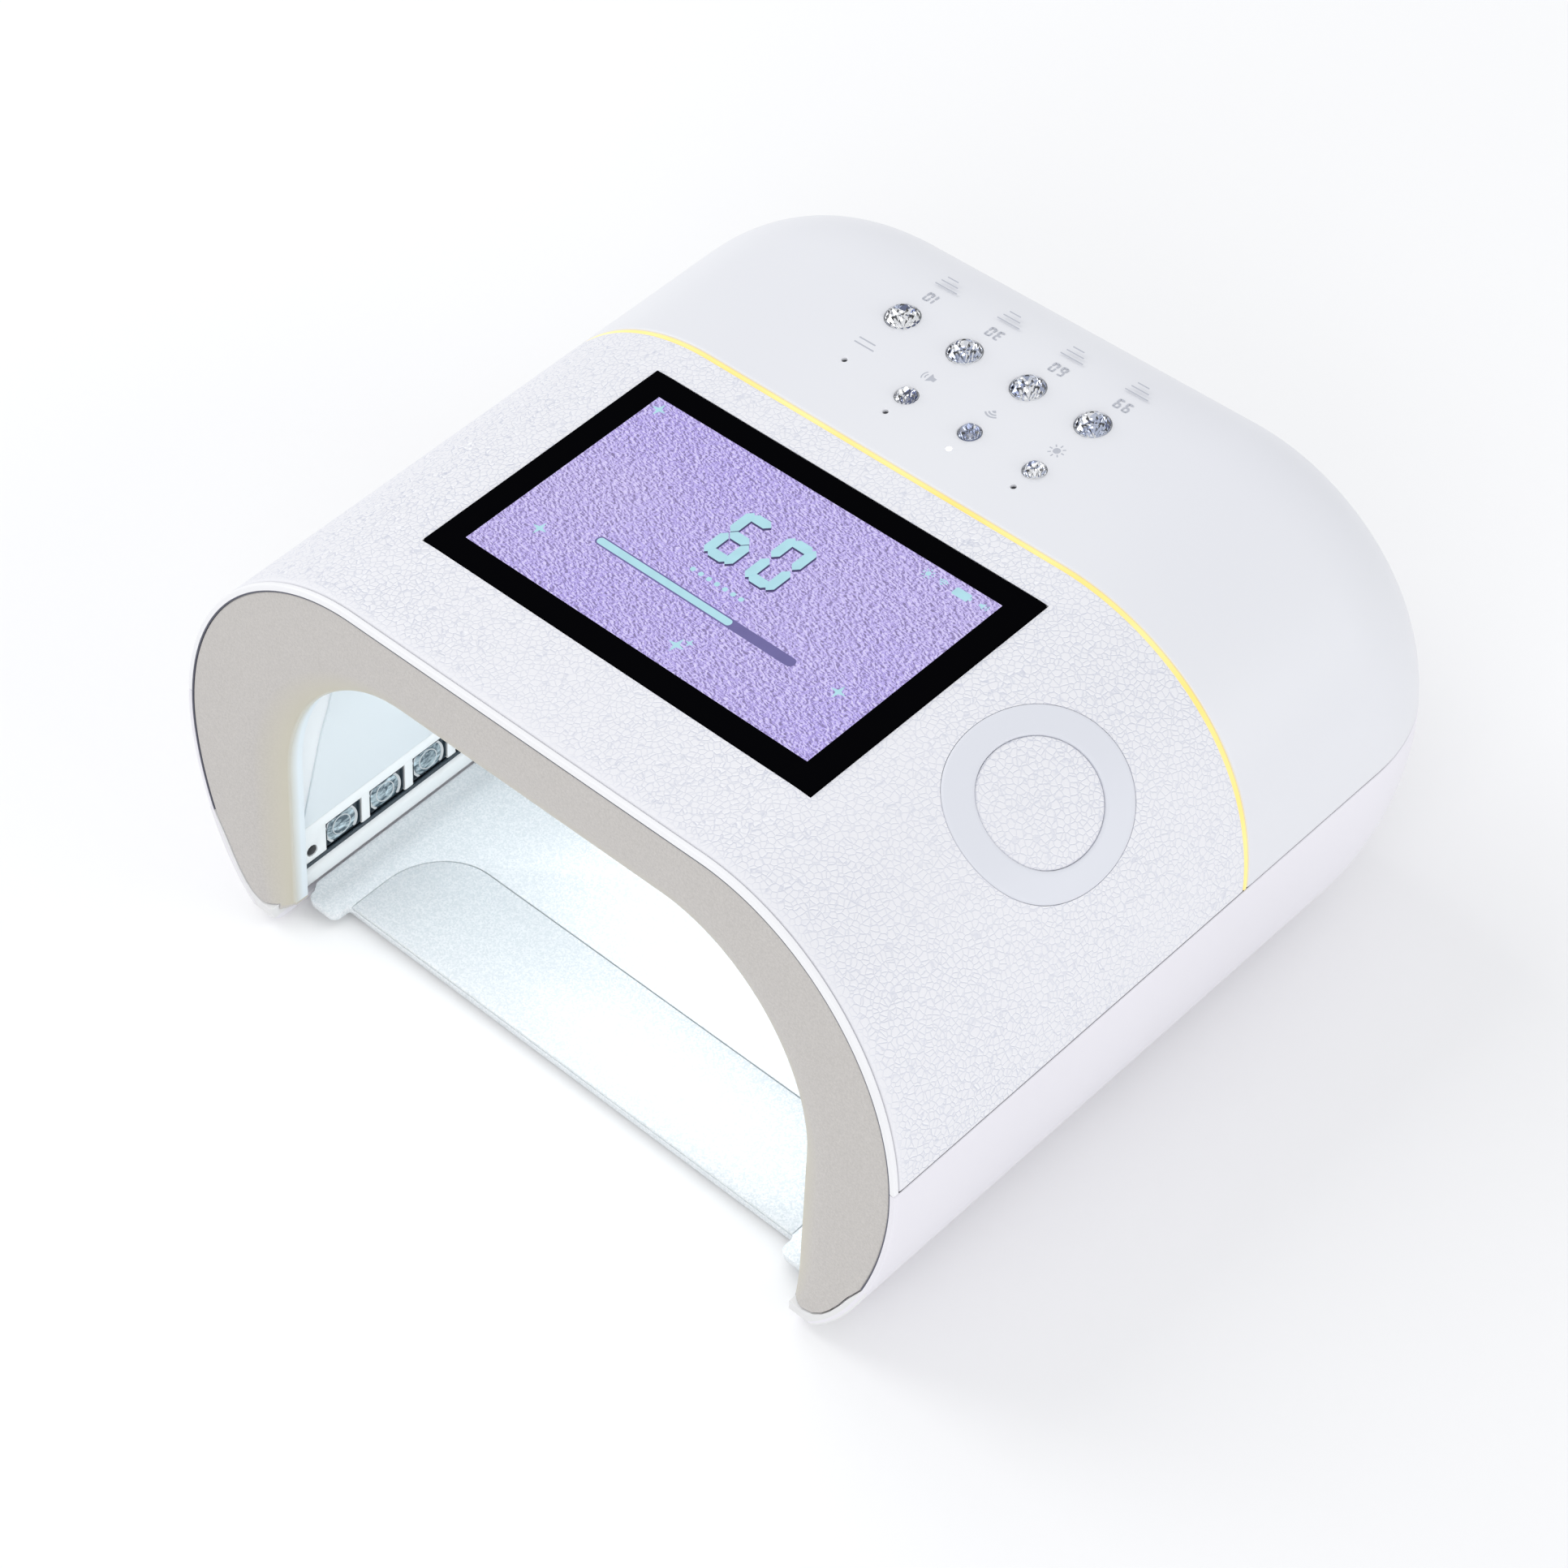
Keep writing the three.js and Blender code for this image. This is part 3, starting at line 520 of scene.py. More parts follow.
def wallpaper(name):
    """The lit panel under the cover glass: a lavender picture of grained leather, with a black border."""
    s = Shader(name, Roughness=0.12, Specular_IOR_Level=0.0, Emission_Strength=1.0)
    xyz = s.node("ShaderNodeSeparateXYZ", {"Vector": s.coords}).outputs
    x_in = s.math("LESS_THAN", s.math("ABSOLUTE", xyz["X"]), LIT_W / 2 * MM)
    from_middle = s.math("ABSOLUTE", s.math("SUBTRACT", xyz["Y"], GLASS_Y * MM))
    lit = s.math("MULTIPLY", x_in, s.math("LESS_THAN", from_middle, LIT_D / 2 * MM))
    grain = s.warped(s.stretched((0.6, 1.1, 1.0)), 500.0, 0.0014)
    relief = []
    for shift in (0.0, 0.00017):
        place = s.vector("ADD", grain, (shift, shift, 0.0))
        cells = s.node("ShaderNodeTexVoronoi", {"Vector": place, "Scale": 1500.0}, feature="SMOOTH_F1")
        relief.append(s.math("ADD", cells.outputs["Distance"], s.noise(2900.0, 2.0, 0.6, place)))
    slope = s.ramp(s.math("SUBTRACT", relief[0], relief[1]), -0.22, 0.22)
    tone = s.mix(s.ramp(s.noise(24.0, 2.0), 0.3, 0.7), srgb("B4A6EE"), srgb("C0B4EC"))
    light = s.mix(s.ramp(slope, 0.5, 1.0), tone, srgb("DCD4FA"))
    shade = s.mix(s.ramp(slope, 0.45, 0.0), light, srgb("8A80A8"))
    s.to("Emission Color", s.mix(lit, (0.0, 0.0, 0.0, 1.0), shade))
    s.to("Base Color", s.mix(lit, srgb("060608"), srgb("141220")))
    return s.material


def flat_glow(name, code, strength):
    s = Shader(name, Roughness=0.5, Specular_IOR_Level=0.05, Emission_Strength=strength)
    shade = s.ramp(s.noise(300.0, 1.0), 0.3, 0.7, 0.94, 1.0)
    s.to("Emission Color", s.vector("SCALE", srgb(code)[:3], shade))
    s.to("Base Color", s.mix(shade, srgb("202028"), srgb("2C2C36")))
    return s.material


def clear(name, code, roughness, ior=1.5):
    s = Shader(name, Transmission_Weight=1.0, Roughness=roughness, IOR=ior)
    s.to("Base Color", s.mix(s.noise(200.0), srgb(code), scaled(srgb(code), 1.03)))
    return s.material


def foil(name):
    """The mirrored underside of a stone; its patches of white, pale and dark blue are painted highlights and
    painted dark reflections of facets.
    """
    s = Shader(name, Metallic=1.0, Roughness=0.05)
    cell = s.node("ShaderNodeTexVoronoi", {"Vector": s.coords, "Scale": 560.0}).outputs["Color"]
    pick = s.node("ShaderNodeSeparateColor", {"Color": cell}).outputs[0]
    bright = s.mix(s.ramp(pick, 0.3, 0.6), srgb("C3CCE2"), srgb("FFFFFF"))
    s.to("Base Color", s.mix(s.ramp(pick, 0.06, 0.2), srgb("4A5680"), bright))
    return s.material


def led_chip(name):
    """LED dies seen through their lens: mottled slate and pale blue in curved streaks."""
    s = Shader(name, Roughness=0.12, Emission_Strength=0.12)
    streaks = s.warped(s.stretched((1.0, 1.0, 2.2)), 200.0, 0.004)
    patch = s.ramp(s.noise(330.0, 3.0, 0.6, streaks), 0.4, 0.66)
    colour = s.mix(patch, srgb("3E515C"), srgb("C2D6DE"))
    s.to("Base Color", colour)
    s.to("Emission Color", colour)
    return s.material


def board_paint(name):
    """Solder mask with faint copper tracks."""
    s = Shader(name, Roughness=0.4)
    tracks = s.node("ShaderNodeTexBrick", {"Vector": s.coords, "Scale": 160.0}).outputs["Fac"]
    s.to("Base Color", s.mix(tracks, srgb("1C6B42"), srgb("2B8052")))
    return s.material


def metal(name, code, roughness):
    s = Shader(name, Metallic=1.0)
    streak = s.noise(400.0, 2.0, 0.6, s.stretched((1.0, 12.0, 1.0)))
    s.to("Base Color", s.mix(streak, srgb(code), scaled(srgb(code), 0.85)))
    s.to("Roughness", s.ramp(streak, 0.3, 0.7, roughness * 0.8, roughness * 1.2))
    return s.material


def floor_paint(name):
    s = Shader(name, Roughness=0.6, Specular_IOR_Level=0.15)
    s.to("Base Color", s.mix(s.ramp(s.noise(3.0, 1.0), 0.3, 0.7), srgb("F8F8F8"), srgb("FAFAFA")))
    return s.material


# Each look's maker and what it is given after the name. moulded takes a colour, roughness, grain depth, grain
# scale and second colour; flat_glow a colour and strength; clear and metal a colour and roughness.
LOOKS = {
    "leather_white": (leather,),
    "satin_white": (moulded, "E6E7EB", 0.34, 0.05, 2600.0, "E3E4E9"),
    "tub_white": (moulded, "ECEAF0", 0.38),
    "trim_white": (moulded, "F4F4F6", 0.34),
    "warm_grey": (bezel_paint,),
    "reflector": (moulded, "E0E8EC", 0.4, 0.05),
    "liner_lip": (moulded, "EEF2F4", 0.4, 0.05),
    "bar_white": (moulded, "F6FAFB", 0.36, 0.04),
    "light_guide": (light_guide,),
    "led_housing": (moulded, "2C3942", 0.22, 0.05),
    "led_chip": (led_chip,),
    # The pale glowing ring on each LED lens's rim and ridge: a painted glint.
    "lens_rim_glint": (flat_glow, "E6F0F4", 0.7),
    "lens_clear": (clear, "EEF6F8", 0.1),
    "black_plastic": (moulded, "1A1B1E", 0.4, 0.1),
    "tray_satin": (pearl,),
    "display_black": (wallpaper,),
    "ui_ink": (flat_glow, "BFF0FB", 0.85),
    "ui_shade": (flat_glow, "6C62A6", 0.35),
    "ui_dim": (flat_glow, "8E86CC", 0.55),
    "gem_clear": (clear, "FBFCFF", 0.0, 1.85),
    "gem_foil": (foil,),
    "print_grey": (moulded, "B9BCC5", 0.5, 0.02),
    "dot_dark": (moulded, "1E2028", 0.3, 0.02),
    "dot_lit": (flat_glow, "FFFFFF", 2.2),
    "aluminium": (metal, "D2D5D8", 0.32),
    "steel": (metal, "C4C7CA", 0.3),
    "pcb_green": (board_paint,),
    "cell_wrap": (moulded, "3B5FA0", 0.3, 0.03),
    # The first dark look below is the feet's rubber and also a painted shadow in the seam over the tub; the
    # slate one is a painted shadow in the gap round the bezel.
    "rubber_dark": (moulded, "2B2B2E", 0.75, 0.2, 900.0),
    "shadow_slate": (moulded, "5C5E6B", 0.75, 0.2, 900.0),
    "pad_white": (moulded, "DFE1E8", 0.36, 0.04),
    "pad_leather": (leather, False),
    "floor_white": (floor_paint,),
}
LOOK = {name: make(name, *values) for name, (make, *values) in LOOKS.items()}


# ---- shells ----------------------------------------------------------------------------------------
def make_front_cover():
    y0, y1 = FRONT + TRIM + GAP, STRIP - STRIP_W / 2 - GAP
    grids = front_rows(y0, y1, 84, 0.0), front_rows(y0, y1, 84, WALL)
    cover = link("front_cover_leather", sheet(*grids), "leather_white")
    bevelled(cover, 0.6, 3, by_weight=True)
    half_w, half_d = GLASS_W / 2 + GAP, GLASS_D / 2 + GAP
    window = box(-half_w, half_w, GLASS_Y - half_d, GLASS_Y + half_d, TOP - 9, TOP + 5)
    carve(cover, window, loop_solid(pad_disc(ROUNDEL_R + 0.12, -0.9, 3.0)))
    finish_piece(cover, "leather_white", "front_cover", angle=35)


def make_front_trim():
    ys = [FRONT, FRONT + 0.5, FRONT + 1.0, FRONT + TRIM]
    grids = plain_rows(ys, 0.0), plain_rows(ys, RIM)
    trim = bevelled(link("front_rim", sheet(*grids), "trim_white"), 0.35, 3, by_weight=True)
    finish_piece(trim, "trim_white", "front_trim", angle=40)


def make_light_strip():
    """The light guide follows the bowed joint between the two covers."""
    y0 = STRIP - STRIP_W / 2
    grids = [front_rows(y0, y0 + STRIP_W, 3, inset) for inset in (0.12, WALL)]
    strip = bevelled(link("light_guide_line", sheet(*grids), "light_guide"), 0.2, by_weight=True)
    finish_piece(strip, "light_guide", "light_strip", angle=40)


def rear_grid(inset):
    """Rows of the rear cover from the strip round to the edge of its flat back wall."""
    x, z = above_seam(inset)
    start = STRIP + STRIP_W / 2 + GAP + strip_bow(z)
    rows = [on_body(x, z, start + (BACK - BACK_LENGTH - start) * t, 0.0) for t in np.linspace(0, 1, 41)]
    for y, draw in back_stations(28, inset):
        x, z = above_seam(inset, draw)
        rows.append(on_body(x, z, np.full(len(x), y), draw))
    return np.array(rows)


def hole(r, x, y, flare):
    """A round hole through the top with a softened edge."""
    profile = [(0, TOP - 8), (r, TOP - 8), (r, TOP - flare), (r + flare * 0.3, TOP - flare * 0.3)]
    profile += [(r + flare, TOP + 0.02), (r + flare, TOP + 4), (0, TOP + 4)]
    return moved(turned(profile), x, y)


def make_rear_cover():
    cover = link("rear_cover_shell", sheet(rear_grid(0.0), rear_grid(WALL), cap=True), "satin_white")
    bevelled(cover, 0.5, 3, by_weight=True)
    holes = [hole(g["r"] * STONE + 0.2, x, g["y"], 0.2) for g in (LARGE_GEM, SMALL_GEM) for x in g["xs"]]
    holes += [hole(0.75, x, y, 0.15) for x, y in DOTS]
    finish_piece(carve(cover, *holes), "satin_white", "rear_cover", angle=35)


def outline_at(z, inset):
    """Half width of the arch's flank or lower shoulder at a height of its full section."""
    q = math.sqrt(max(z, 0) / WAIST_Z) if z < WAIST_Z else q_at(z, inset=inset)
    return float(arch(q, inset)[0])


SIDE_STATIONS, TURN_STATIONS = 60, 24  # along each side of the tub and round its turn into the back


def tub_grid(inset, front_y):
    """Rows down the tub's wall, from the seam to the underside, round from one front leg to the other."""
    ys = [front_y + (BACK - BACK_LENGTH - front_y) * t for t in np.linspace(0, 1, SIDE_STATIONS)]
    stations = [(y, 0.0) for y in ys] + back_stations(TURN_STATIONS, inset)
    lowest = UNDER_Z if inset == 0 else SOLE_TOP - 0.5
    rows = []
    for level in np.linspace(0, 1, 25):
        right = []
        for y, draw in stations:
            keep = 1 - draw / (TOP - ROUND_Z)
            z = BELOW + (max(lowest, ROUND_Z * (1 - keep) + inset) - BELOW) * level
            x = outline_at(ROUND_Z + (z - ROUND_Z) / keep, inset) * (1 - draw / HALF_W)
            right.append((x, y + lean_at(z), z))
        last_x, last_y, last_z = right[-1]
        across = [(last_x * (1 - 2 * t), last_y, last_z) for t in np.linspace(0, 1, 41)[1:-1]]
        rows.append(right + across + [(-x, y, z) for x, y, z in reversed(right)])
    return np.array(rows)


# ---- bezel -----------------------------------------------------------------------------------------
BEZEL_EDGE, BEZEL_FRONT, BEZEL_FOOT = RIM + GAP + 0.12, FRONT + 0.2, 3.2
BEZEL_BACK = BEZEL_FRONT + BEZEL_DEPTH
EDGE_R, LIP_W, LIP_D = 0.5, 0.6, 0.7  # outer edge's radius; width and depth of the lip at the end of the roll


def bezel_rows():
    """Section rows of the bezel, each right round the arch, with how far each has rolled towards the opening.

    The roll is 0 on the face, 1 at the lip and up to 1.5 on the inner wall.
    """
    q = spread(math.sqrt(BEZEL_FOOT / WAIST_Z), 300)
    ax, az = arch(q, RIM + GAP + EDGE_R)
    mx, mz = tunnel(q, MOUTH)
    right = slice(0, len(q) // 2 + 1)
    room = np.abs(ax) - np.interp(az, mz[right], np.abs(mx[right]))
    on_leg = (q < 1) | (q > 2 * MIDDLE - 1)
    width = np.where(on_leg, np.minimum(ROLL_WIDTH, 0.75 * room), ROLL_WIDTH)
    rows, roll = [], []

    def add(x, z, y, value):
        rows.append(leaned(x, y, z))
        roll.append(np.full(len(q), value))

    for inset, y in ((WALL + GAP, BEZEL_BACK), (WALL + GAP, FRONT + TRIM), (BEZEL_EDGE, FRONT + TRIM)):
        add(*arch(q, inset), y, 0.0)
    for angle in np.linspace(0, math.pi / 2, 5):
        inset = BEZEL_EDGE + EDGE_R * (1 - math.cos(angle))
        add(*arch(q, inset), BEZEL_FRONT + EDGE_R * (1 - math.sin(angle)), 0.0)
    fx, fz = tunnel(q, MOUTH, width)
    for t in np.linspace(0, 1, 8)[1:]:
        add(ax + (fx - ax) * t, az + (fz - az) * t, BEZEL_FRONT, 0.0)
    for t in np.linspace(0, 1, 17)[1:]:
        add(*tunnel(q, MOUTH, width * (1 - t) + LIP_W * t), BEZEL_FRONT + ROLL_DEPTH * t**ROLL_POWER, t)
    for angle in np.linspace(0, math.pi / 2, 5)[1:]:
        y = BEZEL_FRONT + (ROLL_DEPTH + LIP_D * math.sin(angle))
        add(*tunnel(q, MOUTH, LIP_W * math.cos(angle)), y, 1.0 + 0.1 * math.sin(angle))
    for t in (0.3, 0.7, 1.0):
        y = BEZEL_FRONT + ROLL_DEPTH + LIP_D + (BEZEL_DEPTH - ROLL_DEPTH - LIP_D) * t
        add(*tunnel(q, MOUTH), y, 1.1 + 0.4 * t)
    return rows, roll


def toe_round():
    """The corner taken off under the front of the legs, to round it."""
    y = FRONT + lean_at(UNDER_Z) + TOE_R - 0.19
    z = UNDER_Z + TOE_R - 0.2
    arc = [(y - TOE_R * math.sin(a), z - TOE_R * math.cos(a)) for a in np.linspace(0, math.pi / 2, 13)]
    section = [(y, z - 20), *arc, (y - 20, z), (y - 20, z - 20)]
    return loop_solid([[(x, *p) for p in section] for x in (-FAR, FAR)])


def toe_prism(side, grow):
    """The tub's toe under a leg of the bezel, widened by grow."""
    section = [(TOE_X, -5.0), (TOE_X, TOE_EDGE[0][1]), *TOE_EDGE, (130.0, TOE_TOP), (130.0, -5.0)]
    points = [(side * (x - grow), z + grow) for x, z in section]
    return loop_solid(leaned_loops(points, (FRONT - 10, BEZEL_BACK)))


def make_toe(side):
    """The arch's section at the front of the tub, kept only where the toe is."""
    x, z = arch(spread(0.0, 200), 0.02)
    front = loop_solid([leaned(x, y, z) for y in (FRONT + 0.02, BEZEL_BACK - GAP)])
    return common(front, toe_prism(side, 0.0))


def make_shadow_strips():
    """Dark strips in the gap round the bezel, above the toes, and in the seam over the tub: painted shadows
    in these gaps.
    """
    q = spread(math.sqrt(TOE_TOP / WAIST_Z), 240)
    grids = []
    for inset in (RIM + 0.02, BEZEL_EDGE - 0.02):
        x, z = arch(q, inset)
        grids.append(np.array([leaned(x, y, z) for y in (FRONT + 0.1, FRONT + TRIM - 0.05)]))
    finish_piece(link("bezel_shadow_strip", sheet(*grids), "shadow_slate"), "rubber_dark", angle=40)
    grids = []
    for inset in (0.35, 2.6):
        line = tub_grid(inset, FRONT + TRIM + 0.4)[0]
        levels = [line.copy(), line.copy()]
        for level, z in zip(levels, (BELOW + 0.01, ABOVE - 0.01)):
            level[:, 1] += lean_at(z) - lean_at(BELOW)
            level[:, 2] = z
        grids.append(np.array(levels))
    finish_piece(link("seam_shadow_strip", sheet(*grids), "rubber_dark"), "rubber_dark", angle=40)


def tray_way(y1):
    """The room that the tray slides through, from the front to a depth."""
    half = TRAY_HALF + 0.4
    return box(-half, half, -FAR, y1, -5, TRAY_TOP + GAP)


def make_bezel():
    rows, roll = bezel_rows()
    count, columns = len(rows), len(rows[0])
    faces = []
    for i in range(count):
        a, b = i * columns, ((i + 1) % count) * columns
        faces += [(a + j, a + j + 1, b + j + 1, b + j) for j in range(columns - 1)]
    faces += [[i * columns + end for i in range(count)] for end in (0, columns - 1)]
    mesh = mesh_from(np.concatenate(rows), faces)
    # The roll attribute places the painted glow and the painted bluish light of the bezel's paint.
    attribute = mesh.attributes.new("roll", "FLOAT", "POINT")
    attribute.data.foreach_set("value", np.concatenate(roll).astype(np.float32))
    bezel = link("bezel_roll", mesh, "warm_grey")
    carve(bezel, toe_prism(-1, GAP), toe_prism(1, GAP), tray_way(0), toe_round())
    finish_piece(bezel, "warm_grey", "front_bezel", angle=40)


def tub_floor():
    """The tub's floor, which curves up at the back. It reaches a hair into the wall's lowest edges."""
    grids = []
    for inset in (0.0, WALL):
        low = tub_grid(inset, FRONT)[-1] * (1.001, 1, 1) + (0, 0.06, 0)
        count = SIDE_STATIONS + TURN_STATIONS
        sides = zip(low[::-1][:count], low[:count])
        grids.append(np.array([[a + (b - a) * t for t in np.linspace(0, 1, 21)] for a, b in sides]))
    return sheet(*grids)


def make_tub():
    outer, inner = tub_grid(0.0, FRONT), tub_grid(WALL, FRONT)
    mesh = sheet(outer, inner)
    lowest = range((len(outer) - 1) * len(outer[0]), len(outer) * len(outer[0]))
    for edge, weight in zip(mesh.edges, mesh.attributes["bevel_weight_edge"].data):
        if all(i in lowest for i in edge.vertices):
            weight.value = 0.0  # the floor joins the wall there
    tub = bevelled(link("tub_wall", mesh, "tub_white"), 0.45, 3, by_weight=True)
    x, z = arch(spread(0.0, COLUMNS), RIM)
    carve(tub, loop_solid([leaned(x, y, z) for y in (FRONT - 10, FRONT + TRIM + GAP)]))
    carve(tub, tub_floor(), make_toe(-1), make_toe(1), operation="UNION")
    carve(tub, box(-FAR, FAR, -FAR, FAR, -20, UNDER_Z), toe_round(), tray_way(TRAY_BACK + 0.4))
    flange = 2.2
    for low, high in (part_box("dc_inlet"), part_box("switch_body")):
        x0, z0, x1, z1 = low.x / MM, low.z / MM, high.x / MM, high.z / MM
        carve(tub, box(x0 + flange, x1 - flange, 80, 120, z0 + flange, z1 - flange))
    finish_piece(tub, "tub_white", "lower_shell", angle=40)


# ---- cavity ----------------------------------------------------------------------------------------
LINER_Q, LINER_LOW = spread(0.0, 200), 23.9  # the liner's walls stand on the LED bars


def make_liner():
    """The tunnel and its back wall."""
    front = BEZEL_BACK + 0.02
    ys = np.concatenate([np.linspace(front, front + 2, 3), np.linspace(front + 6, CAVITY_BACK, 24)])
    grids = []
    for grow in (LINER_T, 0.0):
        x, z = tunnel(LINER_Q, CAVITY, grow, LINER_LOW)
        grids.append(np.array([leaned(x, y, z) for y in ys]))
    finish_piece(link("cavity_liner", sheet(*grids), "liner_lip"), "reflector", "inner_liner", angle=40)
    x, z = tunnel(LINER_Q, CAVITY, LINER_T, TRAY_TOP + GAP)
    back = loop_solid([leaned(x, y, z) for y in (CAVITY_BACK, CAVITY_BACK + LINER_T)])
    finish_piece(bevelled(link("cavity_back_wall", back, "reflector"), 0.3), "reflector", angle=32)


PANEL_FRONT, PANEL_SLANT = -90.3, 13.0  # depth of the panel's front edge at its foot, and its run back
PANEL_SLANT_Z0, PANEL_SLANT_RISE = 11.5, 44.5


def make_liner_panel():
    """The icy panel set on the tunnel's sides and roof; its front edge leans back more than the mouth."""
    grids = []
    for grow in (-0.55, 0.4):
        x, z = tunnel(LINER_Q, CAVITY, grow, LINER_LOW + 0.4)
        front = PANEL_FRONT + np.clip((z - PANEL_SLANT_Z0) / PANEL_SLANT_RISE, 0, 1) * PANEL_SLANT
        rows = [front + (CAVITY_BACK - 0.3 - front) * t for t in np.linspace(0, 1, 20)]
        grids.append(np.array([leaned(x, y, z) for y in rows]))
    panel = bevelled(link("cavity_side_panel", sheet(*grids), "reflector"), 0.35, 3, by_weight=True)
    finish_piece(panel, "reflector", angle=32)


def copied(name, node, look, slot, width, segments=2, angle=30, body="housing"):
    """A piece with softened edges, made from a flat-sided CAD node that it replaces."""
    bm = bmesh.new()
    bm.from_mesh(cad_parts[node].data)
    bmesh.ops.remove_doubles(bm, verts=bm.verts, dist=1e-6)
    bmesh.ops.dissolve_limit(bm, angle_limit=math.radians(0.5), verts=bm.verts, edges=bm.edges)
    piece = bevelled(link(name, mesh_of(bm), look), width, segments, angle=angle)
    finish_piece(piece, slot, node, body=body, angle=32)


LENS_R, LENS_SHIFT = 5.3, -0.55  # the round lens is wider than its window and sits off its middle
CUP_HALF_Y, CUP_HALF_Z, CUP_DEPTH = 5.7, 3.75, 4.2


def clipped(mesh):
    """A round lens part cut to the height and width of its window."""
    return common(moved(mesh, 0, LENS_SHIFT), box(-3.35, 3.35, -5.3, 5.3, -5, 5))


def lens_ring(r0, r1, low, high):
    """A flat ring of the lens, whose section is a low ridge."""
    a = np.linspace(0, 2 * math.pi, 48, endpoint=False)
    section = ((r0, low), (r1, low), (r1, high - 0.1), ((r0 + r1) / 2, high), (r0, high - 0.1))
    loops = [np.stack([r * np.cos(a), r * np.sin(a), np.full(len(a), z)], axis=-1) for r, z in section]
    return clipped(loop_solid(loops, closed_section=True))


def led_module(name, side, node):
    """A square cup with a round lens over its dies, set in the window of the side wall."""
    low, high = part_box(node)
    centre = (low + high) / 2 / MM
    face = min(abs(low.x), abs(high.x)) / MM + 1.6

    def rect(depth, shrink, radius=0.6):
        points = []
        for sy, sz, start in ((1, 1, 0), (-1, 1, 90), (-1, -1, 180), (1, -1, 270)):
            middle = sy * (CUP_HALF_Y - shrink - radius), sz * (CUP_HALF_Z - shrink - radius)
            for y, z in arc(*middle, radius, start, start + 90, 4):
                points.append((side * (face + depth), centre.y + y + LEAN * z, centre.z + z))
        return points

    loops = [rect(CUP_DEPTH, 0), rect(0.15, 0), rect(0, 0.15), rect(0, 0.3), rect(0.7, 0.35), rect(0.7, 2.2)]
    cup = link(name, loop_solid(loops), "led_housing", "lens_rim_glint", "led_chip")
    bowl = [(4.75 * math.sin(a), 0.55 * math.cos(a)) for a in np.linspace(math.pi / 2, 0, 9)]
    dome = clipped(turned([(0, -0.3), (4.75, -0.3), *bowl]))
    rim, ridge = lens_ring(4.72, LENS_R, -0.3, 0.5), lens_ring(2.7, 2.95, 0.3, 0.62)
    place = Matrix.Translation(Vector((side * (face + 0.5), centre.y, centre.z)) * MM)
    turn = Matrix.Rotation(-side * math.pi / 2, 4, "Y")
    bm = bmesh.new()
    bm.from_mesh(cup.data)
    # Index 1 makes the lens's rim and ridge glow: a painted glint.
    for index, part in ((1, rim), (1, ridge), (2, dome)):
        part.transform(place @ turn)
        before = len(bm.faces)
        bm.from_mesh(part)
        bm.faces.ensure_lookup_table()
        for face_index in range(before, len(bm.faces)):
            bm.faces[face_index].material_index = index
    bm.to_mesh(cup.data)
    bm.free()
    finish_piece(cup, "led_housing", node, angle=40)


def make_side_walls():
    for word, side in (("left", -1), ("right", 1)):
        copied(f"led_window_bar_{word}", f"led_bar_{word}", "bar_white", "trim_white", 0.25)
        copied(f"side_rail_edge_{word}", f"side_rail_{word}", "bar_white", "trim_white", 0.4, 3)
        section = [(side * x, z) for x, z in ((90.2, 11.2), (91.5, 11.2), (91.5, 12.3), (90.2, 12.3))]
        loops = leaned_loops(section, (BEZEL_BACK + GAP + 0.2, CAVITY_BACK - 0.6))
        finish_piece(link(f"led_gutter_{word}", loop_solid(loops), "led_housing"), "led_housing")
        for i in range(1, 8):
            led_module(f"led_lens_{word}_{i}", side, f"led_module_{word}_{i}")
        copied(f"sensor_window_{word}", f"ir_sensor_{word}", "black_plastic", "black_plastic", 0.15, 2, 60)


def arc(cx, cy, r, start, end, steps=10):
    return [(cx + r * math.cos(a), cy + r * math.sin(a)) for a in np.radians(np.linspace(start, end, steps))]


def mirrored(right):
    return right + [(-x, y) for x, y in reversed(right)]


def inlay_outline(grow, front):
    r = INLAY_R + grow
    corner = arc(INLAY_HALF - INLAY_R, INLAY_BACK - INLAY_R, r, 0, 90, 14)
    return mirrored([(INLAY_HALF + grow, front), *corner])


def make_tray():
    outline = mirrored([(TRAY_HALF, TRAY_LIP_Y), (TRAY_HALF, TRAY_BACK)])
    tray = link("tray_plate", plate(outline, TRAY_UNDER, TRAY_TOP), "tray_satin")
    x0, x1, y0, y1 = TRAY_TAB_X, TRAY_HALF - 1.7, TRAY_TAB_Y, TRAY_LIP_Y
    for side in (-1, 1):
        tab = arc(x0 + 2.2, y0 + 2.2, 2.2, 180, 270, 6) + arc(x1 - 2.8, y0 + 2.8, 2.8, 270, 360, 7)
        tab += [(TRAY_HALF, y1 - 0.4), (TRAY_HALF, y1 + 6), (x0 - 1.6, y1 + 6), (x0 - 1.6, y1 + 0.001)]
        tab += arc(x0 - 1.6, y1 - 1.6, 1.6, 90, 0, 5)
        mesh = plate([(side * x, y) for x, y in tab], TRAY_TAB_UNDER, TRAY_TOP)
        carve(tray, mesh, operation="UNION")
    carve(tray, plate(inlay_outline(GAP, TRAY_LIP_Y - 3), TRAY_TOP - 1.3, TRAY_TOP + 5))
    bevelled(tray, 0.25, angle=40)
    finish_piece(tray, "tray_satin", "base_tray", body="tray", angle=32)
    panel = plate(inlay_outline(0, TRAY_LIP_Y), TRAY_TOP - 1, TRAY_TOP)
    inlay = bevelled(link("tray_front_panel", panel, "tray_satin"), 0.22, angle=40)
    finish_piece(inlay, "tray_satin", "tray_inlay", body="tray", angle=32)


# ---- display ---------------------------------------------------------------------------------------
GLASS_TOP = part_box("display_glass")[1].z / MM


def make_display():
    copied("cover_glass", "display_glass", "display_black", "display_black", 0.22, 3)


